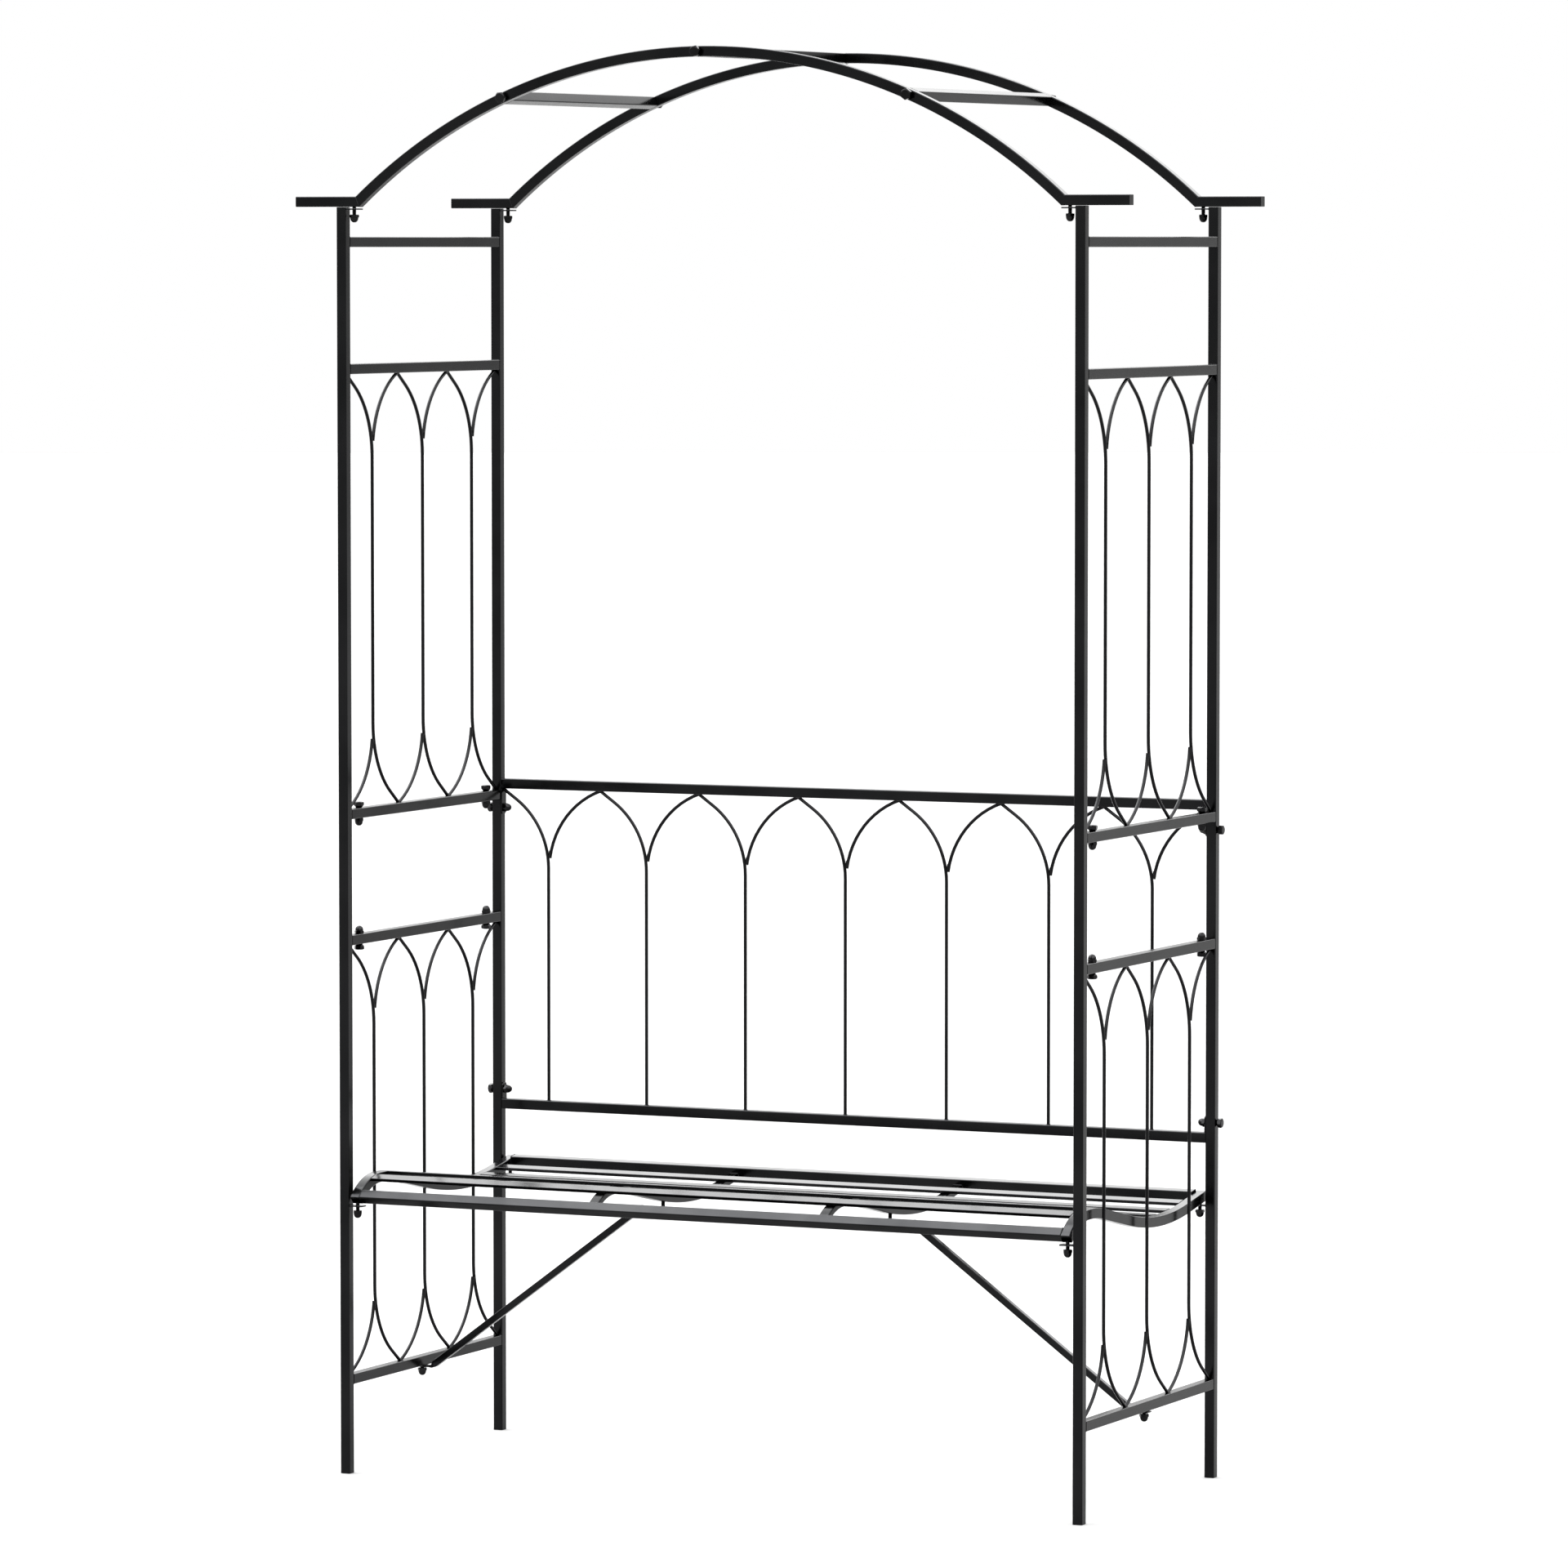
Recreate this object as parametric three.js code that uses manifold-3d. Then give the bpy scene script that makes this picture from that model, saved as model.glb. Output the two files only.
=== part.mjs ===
// Garden trellis arch with a built-in bench, bolted together from square steel tube,
// round rod and flat bar. Millimetres, +X to the right seen from the front, +Y towards
// the backrest, +Z up.
// The origin is on the ground, in the middle of the four posts.
import * as THREE from "three";
import { mergeVertices } from "three/addons/utils/BufferGeometryUtils.js";
import Module from "manifold-3d";

const wasm = await Module();
wasm.setup();

// ---- Driving dimensions ---------------------------------------------------------------

const TUBE = 15; // side of the square tube
const WALL = 1; // its wall
const ROD = 5; // trellis rod diameter
const GAP = 0.3; // clearance left between touching pieces

const POST_X = 579.3; // post centre, left and right of the middle
const POST_Y = 245.8; // post centre, front and back of the middle

const ARCH_SPRING_Z = 1851.2; // centreline of the arch beam's straight ends
const ARCH_CROWN_Z = 2062.4; // centreline of the arch beam at its crown
const ARCH_TIP_X = 653.4; // end of the straight ends
const ARCH_BEND_X = 553; // where the curve meets the straight ends
const CROSSBAR_X = { left: -317.6, center: -9.7, right: 317.6 };

const SIDE_RAIL_Z = { top: 1793.2, upper: 1609.5, mid_upper: 963.5, mid_lower: 779.6, bottom: 137.4 };
const SIDE_CELLS = 3; // trellis arches across one side, post to post

const BACK_TOP_Z = 980.3; // centrelines of the backrest rails
const BACK_BOTTOM_Z = 496.5;
const BACK_CELLS = 7;
const BACK_ROD_SHIFT = -5.3; // the backrest rods stand off the middle of their arches

const ROD_BEND_RADIUS = 125; // long rod, from upright to its straight end
const ROD_BEND_ANGLE = THREE.MathUtils.degToRad(55); // lean of that straight end
const SIDE_ARC_DROP = 98; // short arc, from the rail down to the long rod
const BACK_ARC_DROP = 103;
const ROD_ARC_LEAN = THREE.MathUtils.degToRad(8); // its lean where it meets the long rod
const ROD_ARC_STEP = 2.5; // and its distance from the long rod's axis there

const BOLT = 6; // shank diameter
const BOLT_HOLE = 6.6;
const HEAD_FLATS = 13; // hexagon across flats
const HEAD_HEIGHT = 6;
const HEAD_CONE = 2.7; // tapered seat under the hexagon
const HEAD_SEAT = 8.5; // diameter of that seat
const CROSSBAR_HEAD_FLATS = 14.5;
const NUT_FLATS = 12;
const NUT_HEIGHT = 4.5; // hexagon of the cap nut
const NUT_DOME = 7; // its dome

const STUD_X = 561.2; // upright studs beside the posts
const TAB = 2; // thickness of the tabs welded to the posts
const TAB_REACH = 21.6; // how far they stand off the post
const ARCH_TAB_Z = 1840.5;
const ARCH_NUT_Z = 1832.7; // top of the cap nut under the arch tabs
const SEAT_TAB_Z = { front: 392.9, back: 397.4 };
const SEAT_NUT_DROP = 6.4; // from the seat tab's middle to the cap nut's top

const TONGUE = 12; // square tongue on the post, inside the bolted side rails
const TONGUE_WALL = 1.2;
const TONGUE_LENGTH = 45;
const RAIL_BOLT_Y = 203.7; // bolt through rail and tongue

const BACK_BOLT_Z = { top: 944.3, bottom: 518.5 };
const EAR = 1.5; // thickness of the backrest rails' bolted ears
const EAR_WIDTH = 14;
const EAR_OVERHANG = 10; // ear beyond the bolt

const SEAT_RAIL_X = 561;
const SUPPORT_X = 182;
const SEAT_CREST = { y: -184, z: 429.3 }; // centreline of the seat side rail at its crest
const SEAT_FRONT_RADIUS = 95;
const SEAT_FRONT_ANGLE = THREE.MathUtils.degToRad(45);
const SEAT_CREST_LENGTH = 9; // level stretch behind the crest
const SEAT_BACK_RADIUS = 212.5;
const SEAT_SLOPE = THREE.MathUtils.degToRad(11.5);
const SEAT_SLOPE_LENGTH = 104.7;
const SEAT_DIP_RADIUS = 607;
const SEAT_REAR_ANGLE = THREE.MathUtils.degToRad(9.5);
const SEAT_REAR_LENGTH = 63.4;
const REAR_RAIL_RISE = 2.9; // the rear rail stands this much above the side rails
const REAR_RAIL_SETBACK = 12.5; // from the side rails' rear ends to its centreline
const SLAT_WIDTH = 18;
const SLAT_THICKNESS = 4.7;
const SLAT_COUNT = 9;
const SLAT_FIRST_Y = -210.6; // middle of the first slat's top face
const SLAT_PITCH = 50.3;
const SUPPORT_HEIGHT = 10; // the supports are a flatter tube

const BRACE = 10; // square tube of the braces
const BRACE_Y = -8.5;
const BRACE_TAB = 2;
const BRACE_TAB_WIDTH = 16;
const BRACE_VENT = 3; // drain hole near the foot
const BRACE_FOOT = { x: 560.8, z: 130.4 };
const BRACE_HEAD = { x: 219, z: 381.5 };
const BRACE_BITE = 3; // the high tab starts this far inside the slanted tube
const BRACE_LOW_END_X = 587.3;
const BRACE_HIGH_END_X = 168;
const BRACE_HIGH_TAB_Z = 384;
const BRACE_NUT_DROP = 1.8; // bare thread between the low tab and its cap nut

// ---- Worked-out dimensions ------------------------------------------------------------

const HALF = TUBE / 2;
const POST_HEIGHT = ARCH_SPRING_Z - HALF - GAP;
const SIDE_LENGTH = 2 * (POST_Y - HALF - GAP);
const BACK_LENGTH = 2 * (POST_X - HALF - GAP);
const SEAT_LENGTH = 2 * (SEAT_RAIL_X - HALF - GAP);
const ARCH_RISE = ARCH_CROWN_Z - ARCH_SPRING_Z;
const ARCH_RADIUS = (ARCH_BEND_X ** 2 + ARCH_RISE ** 2) / (2 * ARCH_RISE);
const ARCH_CENTER_Z = ARCH_CROWN_Z - ARCH_RADIUS;
const SIDES = { left: -1, right: 1 };
const ENDS = { front: -1, back: 1 };

// ---- Materials ------------------------------------------------------------------------

const tubeCoat = { color: 0x242527, roughness: 0.5, metalness: 0.25 };
const boltCoat = { color: 0x1b1c1e, roughness: 0.42, metalness: 0.4 };

// ---- Solids ---------------------------------------------------------------------------

const group = new THREE.Group();

function toSolid(geometry) {
  const plain = geometry.clone();
  plain.deleteAttribute("normal");
  plain.deleteAttribute("uv");
  const merged = mergeVertices(plain, 1e-4);
  const vertProperties = new Float32Array(merged.attributes.position.array);
  const triVerts = new Uint32Array(merged.index.array);
  return new wasm.Manifold(new wasm.Mesh({ numProp: 3, vertProperties, triVerts }));
}

function toGeometry(solid) {
  const { vertProperties, triVerts } = solid.getMesh();
  const geometry = new THREE.BufferGeometry();
  geometry.setAttribute("position", new THREE.BufferAttribute(vertProperties, 3));
  geometry.setIndex(new THREE.BufferAttribute(triVerts, 1));
  return geometry;
}

function addPiece(name, solid, coat, x = 0, y = 0, z = 0) {
  const mesh = new THREE.Mesh(toGeometry(solid), new THREE.MeshStandardMaterial(coat));
  mesh.name = name;
  mesh.position.set(x, y, z);
  group.add(mesh);
  return mesh;
}

function box(x0, x1, y0, y1, z0, z1) {
  const geometry = new THREE.BoxGeometry(x1 - x0, y1 - y0, z1 - z0);
  geometry.translate((x0 + x1) / 2, (y0 + y1) / 2, (z0 + z1) / 2);
  return toSolid(geometry);
}

// Upright cylinder or cone, or with 6 sides a hexagon whose flats face front and back.
function round(lowDiameter, highDiameter, z0, z1, sides = 8) {
  const geometry = new THREE.CylinderGeometry(highDiameter / 2, lowDiameter / 2, z1 - z0, sides);
  geometry.rotateX(Math.PI / 2);
  geometry.translate(0, 0, (z0 + z1) / 2);
  return toSolid(geometry);
}

function hexagon(flats, z0, z1) {
  const corners = (2 * flats) / Math.sqrt(3);
  return round(corners, corners, z0, z1, 6);
}

function shank(diameter, z0, z1) {
  return round(diameter, diameter, z0, z1);
}

function alongX(solid) {
  return solid.rotate([0, 90, 0]);
}

function alongY(solid) {
  return solid.rotate([-90, 0, 0]);
}

// Square ring extruded along +Z, centred on the axis.
function tube(width, depth, wall, length) {
  const outer = new THREE.Shape();
  outer.moveTo(-width / 2, -depth / 2);
  outer.lineTo(width / 2, -depth / 2);
  outer.lineTo(width / 2, depth / 2);
  outer.lineTo(-width / 2, depth / 2);
  const inner = new THREE.Path();
  inner.moveTo(wall - width / 2, wall - depth / 2);
  inner.lineTo(wall - width / 2, depth / 2 - wall);
  inner.lineTo(width / 2 - wall, depth / 2 - wall);
  inner.lineTo(width / 2 - wall, wall - depth / 2);
  outer.holes.push(inner);
  const geometry = new THREE.ExtrudeGeometry(outer, { depth: length, bevelEnabled: false });
  geometry.translate(0, 0, -length / 2);
  return toSolid(geometry);
}

// A flat outline given as [u, v] points, extruded by a thickness centred on zero.
function plate(points, thickness) {
  const shape = new THREE.Shape(points.map(([u, v]) => new THREE.Vector2(u, v)));
  const geometry = new THREE.ExtrudeGeometry(shape, { depth: thickness, bevelEnabled: false });
  geometry.translate(0, 0, -thickness / 2);
  return toSolid(geometry);
}

// The outline's u and v become X and Z, and the thickness runs along Y.
function uprightPlate(points, thickness) {
  return plate(points, thickness).rotate([90, 0, 0]);
}

// The outline's u and v become Y and Z, and the thickness runs along X.
function sidePlate(points, thickness) {
  return plate(points, thickness).rotate([90, 0, 90]);
}

// ---- Fasteners ------------------------------------------------------------------------

// Hexagon head on a tapered seat. It stands on z = 0 and points up.
function boltHead(flats) {
  const seat = round(HEAD_SEAT, flats, 0, HEAD_CONE);
  return seat.add(hexagon(flats, HEAD_CONE - 0.01, HEAD_CONE + HEAD_HEIGHT));
}

// Cap nut hanging from z = 0 with its dome down.
function capNut() {
  const profile = [new THREE.Vector2(0, -NUT_HEIGHT - NUT_DOME)];
  const steps = 3;
  for (let i = 1; i <= steps; i += 1) {
    const angle = (i / steps) * (Math.PI / 2);
    const radius = Math.sin(angle) * (NUT_FLATS / 2 - 0.1);
    profile.push(new THREE.Vector2(radius, -NUT_HEIGHT - NUT_DOME * Math.cos(angle)));
  }
  profile.push(new THREE.Vector2(NUT_FLATS / 2 - 0.1, -NUT_HEIGHT + 1));
  profile.push(new THREE.Vector2(0, -NUT_HEIGHT + 1));
  const dome = new THREE.LatheGeometry(profile, 8);
  dome.rotateX(Math.PI / 2);
  return hexagon(NUT_FLATS, -NUT_HEIGHT, 0).add(toSolid(dome));
}

// Headed bolt with its head above z = 0 and a cap nut a grip length below.
function cappedBolt(grip) {
  return boltHead(HEAD_FLATS).add(shank(BOLT, -grip - 1, 1)).add(capNut().translate([0, 0, -grip]));
}

// Stud whose cap nut's top is at z = 0.
function cappedStud(height) {
  return shank(BOLT, -1, height).add(capNut());
}

// ---- Posts ----------------------------------------------------------------------------

function postTab(sideX, z) {
  const near = -sideX * (HALF - WALL / 2);
  const far = -sideX * (HALF + TAB_REACH);
  const hole = shank(BOLT_HOLE, -TAB, TAB).translate([-sideX * (POST_X - STUD_X), 0, 0]);
  const strip = box(Math.min(near, far), Math.max(near, far), -HALF, HALF, -TAB / 2, TAB / 2);
  return strip.subtract(hole).translate([0, 0, z]);
}

function postTongue(sideY, z) {
  const start = HALF - WALL / 2;
  const length = TONGUE_LENGTH + WALL / 2;
  const middle = -sideY * (start + length / 2);
  const body = alongY(tube(TONGUE, TONGUE, TONGUE_WALL, length)).translate([0, middle, 0]);
  const hole = shank(BOLT_HOLE, -TONGUE, TONGUE).translate([0, -sideY * (POST_Y - RAIL_BOLT_Y), 0]);
  return body.subtract(hole).translate([0, 0, z]);
}

function post(end, side) {
  const sideX = SIDES[side];
  const sideY = ENDS[end];
  const inner = HALF - WALL;
  let solid = box(-HALF, HALF, -HALF, HALF, 0, POST_HEIGHT);
  solid = solid.subtract(box(-inner, inner, -inner, inner, WALL, POST_HEIGHT + 1));
  solid = solid.add(postTab(sideX, ARCH_TAB_Z)).add(postTab(sideX, SEAT_TAB_Z[end]));
  solid = solid.add(postTongue(sideY, SIDE_RAIL_Z.mid_upper));
  solid = solid.add(postTongue(sideY, SIDE_RAIL_Z.mid_lower));
  if (end === "back") {
    for (const z of Object.values(BACK_BOLT_Z)) {
      solid = solid.subtract(alongX(shank(BOLT_HOLE, -TUBE, TUBE)).translate([0, 0, z]));
    }
  }
  addPiece(`post_${end}_${side}`, solid, tubeCoat, sideX * POST_X, sideY * POST_Y, 0);
}

// ---- Side rails and trellis -----------------------------------------------------------

// Rails bolted to the tongues carry their two upright bolts, heads away from the open band.
function boltedRail(solid, headUp) {
  const bolt = cappedBolt(TUBE).translate([0, 0, HALF]);
  const turned = headUp ? bolt : bolt.rotate([180, 0, 0]);
  return solid.add(turned.translate([0, RAIL_BOLT_Y, 0])).add(turned.translate([0, -RAIL_BOLT_Y, 0]));
}

function sideRail(level, side) {
  let solid = alongY(tube(TUBE, TUBE, WALL, SIDE_LENGTH));
  if (level === "mid_upper") solid = boltedRail(solid, true);
  if (level === "mid_lower") solid = boltedRail(solid, false);
  if (level === "bottom") solid = solid.subtract(shank(BOLT_HOLE, -TUBE, 0).translate([0, BRACE_Y, 0]));
  addPiece(`side_rail_${level}_${side}`, solid, tubeCoat, SIDES[side] * POST_X, 0, SIDE_RAIL_Z[level]);
}

// A planar path of arcs and lines in steps of its own, so straight runs cost one step.
class StepPath extends THREE.Curve {
  constructor(points) {
    super();
    this.points = points;
  }

  getPoint(t, target = new THREE.Vector3()) {
    const place = Math.min(Math.max(t, 0), 1) * (this.points.length - 1);
    const index = Math.min(Math.floor(place), this.points.length - 2);
    return target.lerpVectors(this.points[index], this.points[index + 1], place - index);
  }

  getPointAt(u, target) {
    return this.getPoint(u, target);
  }

  getTangentAt(u, target = new THREE.Vector3()) {
    const step = 0.5 / (this.points.length - 1);
    const before = this.getPoint(u - step);
    return target.copy(this.getPoint(u + step)).sub(before).normalize();
  }
}

// A round rod through [u, v] points, with u along Y, v along Z and x = 0.
function rod(points) {
  const section = new THREE.Shape();
  const sides = 6;
  for (let i = 0; i < sides; i += 1) {
    const angle = ((i + 0.5) / sides) * 2 * Math.PI;
    const corner = [(ROD / 2) * Math.cos(angle), (ROD / 2) * Math.sin(angle)];
    if (i === 0) section.moveTo(...corner);
    else section.lineTo(...corner);
  }
  const path = new StepPath(points.map(([u, v]) => new THREE.Vector3(0, u, v)));
  const options = { steps: points.length - 1, extrudePath: path, bevelEnabled: false };
  return toSolid(new THREE.ExtrudeGeometry(section, options));
}

// Points of the long rod's top: a bend, then straight on to a tip above the rail line.
function longBend(offset, railV) {
  const across = ROD_BEND_RADIUS * (1 - Math.cos(ROD_BEND_ANGLE));
  const rise = ROD_BEND_RADIUS * Math.sin(ROD_BEND_ANGLE);
  const slope = 1 / Math.tan(ROD_BEND_ANGLE);
  const startV = railV - rise - (offset - across) * slope;
  const steps = 5;
  const bend = Array.from({ length: steps + 1 }, (_, i) => {
    const angle = (i / steps) * ROD_BEND_ANGLE;
    return [-ROD_BEND_RADIUS * (1 - Math.cos(angle)), startV + ROD_BEND_RADIUS * Math.sin(angle)];
  });
  return [...bend, [-offset - ROD, railV + ROD * slope]];
}

// Points of the short arc, from the cut end beside the long rod to its tip above the rail line.
function shortBend(offset, railV, drop) {
  const across = offset - ROD_ARC_STEP;
  const lean = ROD_ARC_LEAN;
  const span = across * Math.cos(lean) - drop * Math.sin(lean);
  const radius = (across ** 2 + drop ** 2) / (2 * span);
  const tip = Math.acos(Math.cos(lean) - across / radius) + ROD / radius;
  const steps = 4;
  return Array.from({ length: steps + 1 }, (_, i) => {
    const angle = lean + (i / steps) * (tip - lean);
    const u = ROD_ARC_STEP + radius * (Math.cos(lean) - Math.cos(angle));
    return [u, railV - drop + radius * (Math.sin(angle) - Math.sin(lean))];
  });
}

// A rod standing between two rails whose faces are at v = 0 and v = height. Its top bends one
// way and a short arc leaves it the other way. With both ends bent its foot is the same turned over.
function rodTree(pitch, height, shift, drop, bothEnds) {
  const top = longBend(pitch / 2 + shift, height);
  const arc = shortBend(pitch / 2 - shift, height, drop);
  const turnOver = ([u, v]) => [-u, height - v];
  const foot = bothEnds ? top.map(turnOver).reverse() : [[0, -ROD]];
  let solid = rod([...foot, ...top]).add(rod(arc));
  if (bothEnds) solid = solid.add(rod(arc.map(turnOver)));
  return solid;
}

function trellis(cells, length, height, shift, drop, bothEnds) {
  const pitch = (length + 2 * GAP) / cells;
  const tree = rodTree(pitch, height, shift, drop, bothEnds);
  const trees = [];
  for (let i = 0; i < cells; i += 1) {
    trees.push(tree.translate([0, (i + 0.5) * pitch - length / 2 - GAP + shift, 0]));
  }
  // The tips that end beside a post come from one more tree on each side.
  trees.push(tree.translate([0, (cells + 0.5) * pitch - length / 2 - GAP + shift, 0]));
  trees.push(tree.translate([0, -0.5 * pitch - length / 2 - GAP + shift, 0]));
  const frame = box(-ROD, ROD, -length / 2, length / 2, GAP, height - GAP);
  return wasm.Manifold.union(trees).intersect(frame);
}

function sideLattice(panel, side) {
  const upperRail = panel === "upper" ? SIDE_RAIL_Z.upper : SIDE_RAIL_Z.mid_lower;
  const lowerRail = panel === "upper" ? SIDE_RAIL_Z.mid_upper : SIDE_RAIL_Z.bottom;
  const height = upperRail - lowerRail - TUBE;
  const solid = trellis(SIDE_CELLS, SIDE_LENGTH, height, 0, SIDE_ARC_DROP, true);
  const name = `side_lattice_${panel}_${side}`;
  addPiece(name, solid, tubeCoat, SIDES[side] * POST_X, 0, lowerRail + HALF);
}

// ---- Backrest -------------------------------------------------------------------------

// A flat ear on each end of the rail, along the post's inner face and bolted through it.
function backrestRail(level, railZ) {
  const reach = BACK_BOLT_Z[level] - railZ;
  const beyond = reach + Math.sign(reach) * EAR_OVERHANG;
  let solid = alongX(tube(TUBE, TUBE, WALL, BACK_LENGTH));
  for (const sideX of Object.values(SIDES)) {
    const end = (sideX * BACK_LENGTH) / 2;
    const inside = end - sideX * EAR;
    const span = [Math.min(end, inside), Math.max(end, inside)];
    const ear = box(...span, -EAR_WIDTH / 2, EAR_WIDTH / 2, Math.min(0, beyond), Math.max(0, beyond));
    const hole = alongX(shank(BOLT_HOLE, -TUBE, TUBE)).translate([end, 0, reach]);
    solid = solid.add(ear).subtract(hole);
  }
  addPiece(`backrest_rail_${level}`, solid, tubeCoat, 0, POST_Y, railZ);
}

function backrestLattice() {
  const height = BACK_TOP_Z - BACK_BOTTOM_Z - TUBE;
  const rods = trellis(BACK_CELLS, BACK_LENGTH, height, BACK_ROD_SHIFT, BACK_ARC_DROP, false);
  const clear = BACK_LENGTH / 2 - EAR - GAP;
  const solid = rods.rotate([0, 0, -90]).intersect(box(-clear, clear, -ROD, ROD, 0, height));
  addPiece("backrest_lattice", solid, tubeCoat, 0, POST_Y, BACK_BOTTOM_Z + HALF);
}

// ---- Arches and crossbars -------------------------------------------------------------

// Outline of the beam, or of its hollow when inset: straight ends and one arc between them.
function archOutline(inset) {
  const half = HALF - inset;
  const tip = ARCH_TIP_X - inset;
  const points = [];
  const steps = 24;
  for (const [offset, direction] of [[half, 1], [-half, -1]]) {
    const radius = ARCH_RADIUS + offset;
    const springZ = ARCH_SPRING_Z + offset;
    const reach = Math.acos((springZ - ARCH_CENTER_Z) / radius);
    points.push([-direction * tip, springZ]);
    for (let i = 0; i <= steps; i += 1) {
      const angle = direction * reach * ((2 * i) / steps - 1);
      points.push([radius * Math.sin(angle), ARCH_CENTER_Z + radius * Math.cos(angle)]);
    }
    points.push([direction * tip, springZ]);
  }
  return points.reverse();
}

function crossbarPlace(x) {
  const angle = Math.asin(x / ARCH_RADIUS);
  return { angle, z: ARCH_CENTER_Z + ARCH_RADIUS * Math.cos(angle) };
}

function arch(end) {
  let solid = uprightPlate(archOutline(0), TUBE);
  solid = solid.subtract(uprightPlate(archOutline(WALL), TUBE - 2 * WALL));
  for (const x of Object.values(CROSSBAR_X)) {
    const hole = alongY(shank(BOLT_HOLE, -TUBE, TUBE));
    solid = solid.subtract(hole.translate([x, 0, crossbarPlace(x).z]));
  }
  for (const sideX of Object.values(SIDES)) {
    const hole = shank(BOLT_HOLE, -TUBE, 0);
    solid = solid.subtract(hole.translate([sideX * STUD_X, 0, ARCH_SPRING_Z]));
  }
  addPiece(`arch_${end}`, solid, tubeCoat, 0, ENDS[end] * POST_Y, 0);
}

// Tube between the arches, with a threaded bar across each end that its bolts screw into.
function crossbar(side) {
  const x = CROSSBAR_X[side];
  const { angle, z } = crossbarPlace(x);
  const length = 2 * (POST_Y - HALF - GAP);
  const bar = 8;
  let solid = tube(TUBE, TUBE, WALL, length);
  const bolt = shank(BOLT, length / 2 - bar, length / 2 + 2 * GAP + TUBE + 1);
  const head = boltHead(CROSSBAR_HEAD_FLATS).translate([0, 0, length / 2 + 2 * GAP + TUBE]);
  const anchor = box(-HALF, HALF, -bar / 2, bar / 2, length / 2 - bar, length / 2);
  const end = bolt.add(head).add(anchor);
  solid = solid.add(end).add(end.rotate([180, 0, 0]));
  const placed = alongY(solid).rotate([0, THREE.MathUtils.radToDeg(angle), 0]);
  addPiece(`crossbar_${side}`, placed, tubeCoat, x, 0, z);
}

// ---- Seat -----------------------------------------------------------------------------

// Stations {y, z, angle} along the seat rail's centreline, from its front end to its rear end.
function seatStations() {
  const stations = [];
  let angle = SEAT_FRONT_ANGLE;
  let y = SEAT_CREST.y - SEAT_FRONT_RADIUS * Math.sin(angle);
  let z = SEAT_CREST.z - SEAT_FRONT_RADIUS * (1 - Math.cos(angle));
  const mark = () => stations.push({ y, z, angle });
  const bend = (radius, turn, steps) => {
    for (let i = 0; i < steps; i += 1) {
      const chord = 2 * radius * Math.sin(Math.abs(turn) / steps / 2);
      angle += turn / steps / 2;
      y += chord * Math.cos(angle);
      z += chord * Math.sin(angle);
      angle += turn / steps / 2;
      mark();
    }
  };
  const run = (length) => {
    y += length * Math.cos(angle);
    z += length * Math.sin(angle);
    mark();
  };
  mark();
  bend(SEAT_FRONT_RADIUS, -SEAT_FRONT_ANGLE, 8);
  run(SEAT_CREST_LENGTH);
  bend(SEAT_BACK_RADIUS, -SEAT_SLOPE, 3);
  run(SEAT_SLOPE_LENGTH);
  bend(SEAT_DIP_RADIUS, SEAT_SLOPE + SEAT_REAR_ANGLE, 6);
  run(SEAT_REAR_LENGTH);
  return stations;
}

const STATIONS = seatStations();

// The station at a given Y, between two of a list.
function stationAt(y, stations = STATIONS) {
  const next = Math.max(1, stations.findIndex((station) => station.y >= y));
  const a = stations[next - 1];
  const b = stations[next];
  const part = (y - a.y) / (b.y - a.y);
  return {
    y,
    z: THREE.MathUtils.lerp(a.z, b.z, part),
    angle: THREE.MathUtils.lerp(a.angle, b.angle, part),
  };
}

function offsetPoint(station, across, along = 0) {
  const { y, z, angle } = station;
  const u = y + along * Math.cos(angle) - across * Math.sin(angle);
  return [u, z + along * Math.sin(angle) + across * Math.cos(angle)];
}

// Outline between two distances across the centreline, over a run of stations.
function seatOutline(stations, low, high) {
  const above = stations.map((station) => offsetPoint(station, high));
  const below = stations.map((station) => offsetPoint(station, low));
  return [...below, ...above.reverse()];
}

// Stations with the first and last moved in along the curve.
function trimmedStations(front, rear) {
  const first = STATIONS[0];
  const last = STATIONS[STATIONS.length - 1];
  const start = stationAt(first.y + front * Math.cos(first.angle));
  const stop = stationAt(last.y - rear * Math.cos(last.angle));
  const middle = STATIONS.filter((station) => station.y > start.y + 1 && station.y < stop.y - 1);
  return [start, ...middle, stop];
}

function seatSideRail(side) {
  let solid = sidePlate(seatOutline(STATIONS, -HALF, HALF), TUBE);
  const hollow = seatOutline(trimmedStations(WALL, WALL), WALL - HALF, HALF - WALL);
  solid = solid.subtract(sidePlate(hollow, TUBE - 2 * WALL));
  for (const [end, sideY] of Object.entries(ENDS)) {
    const base = SEAT_TAB_Z[end];
    solid = solid.subtract(shank(BOLT_HOLE, base, base + TUBE).translate([0, sideY * POST_Y, 0]));
  }
  addPiece(`seat_side_rail_${side}`, solid, tubeCoat, SIDES[side] * SEAT_RAIL_X, 0, 0);
}

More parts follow.
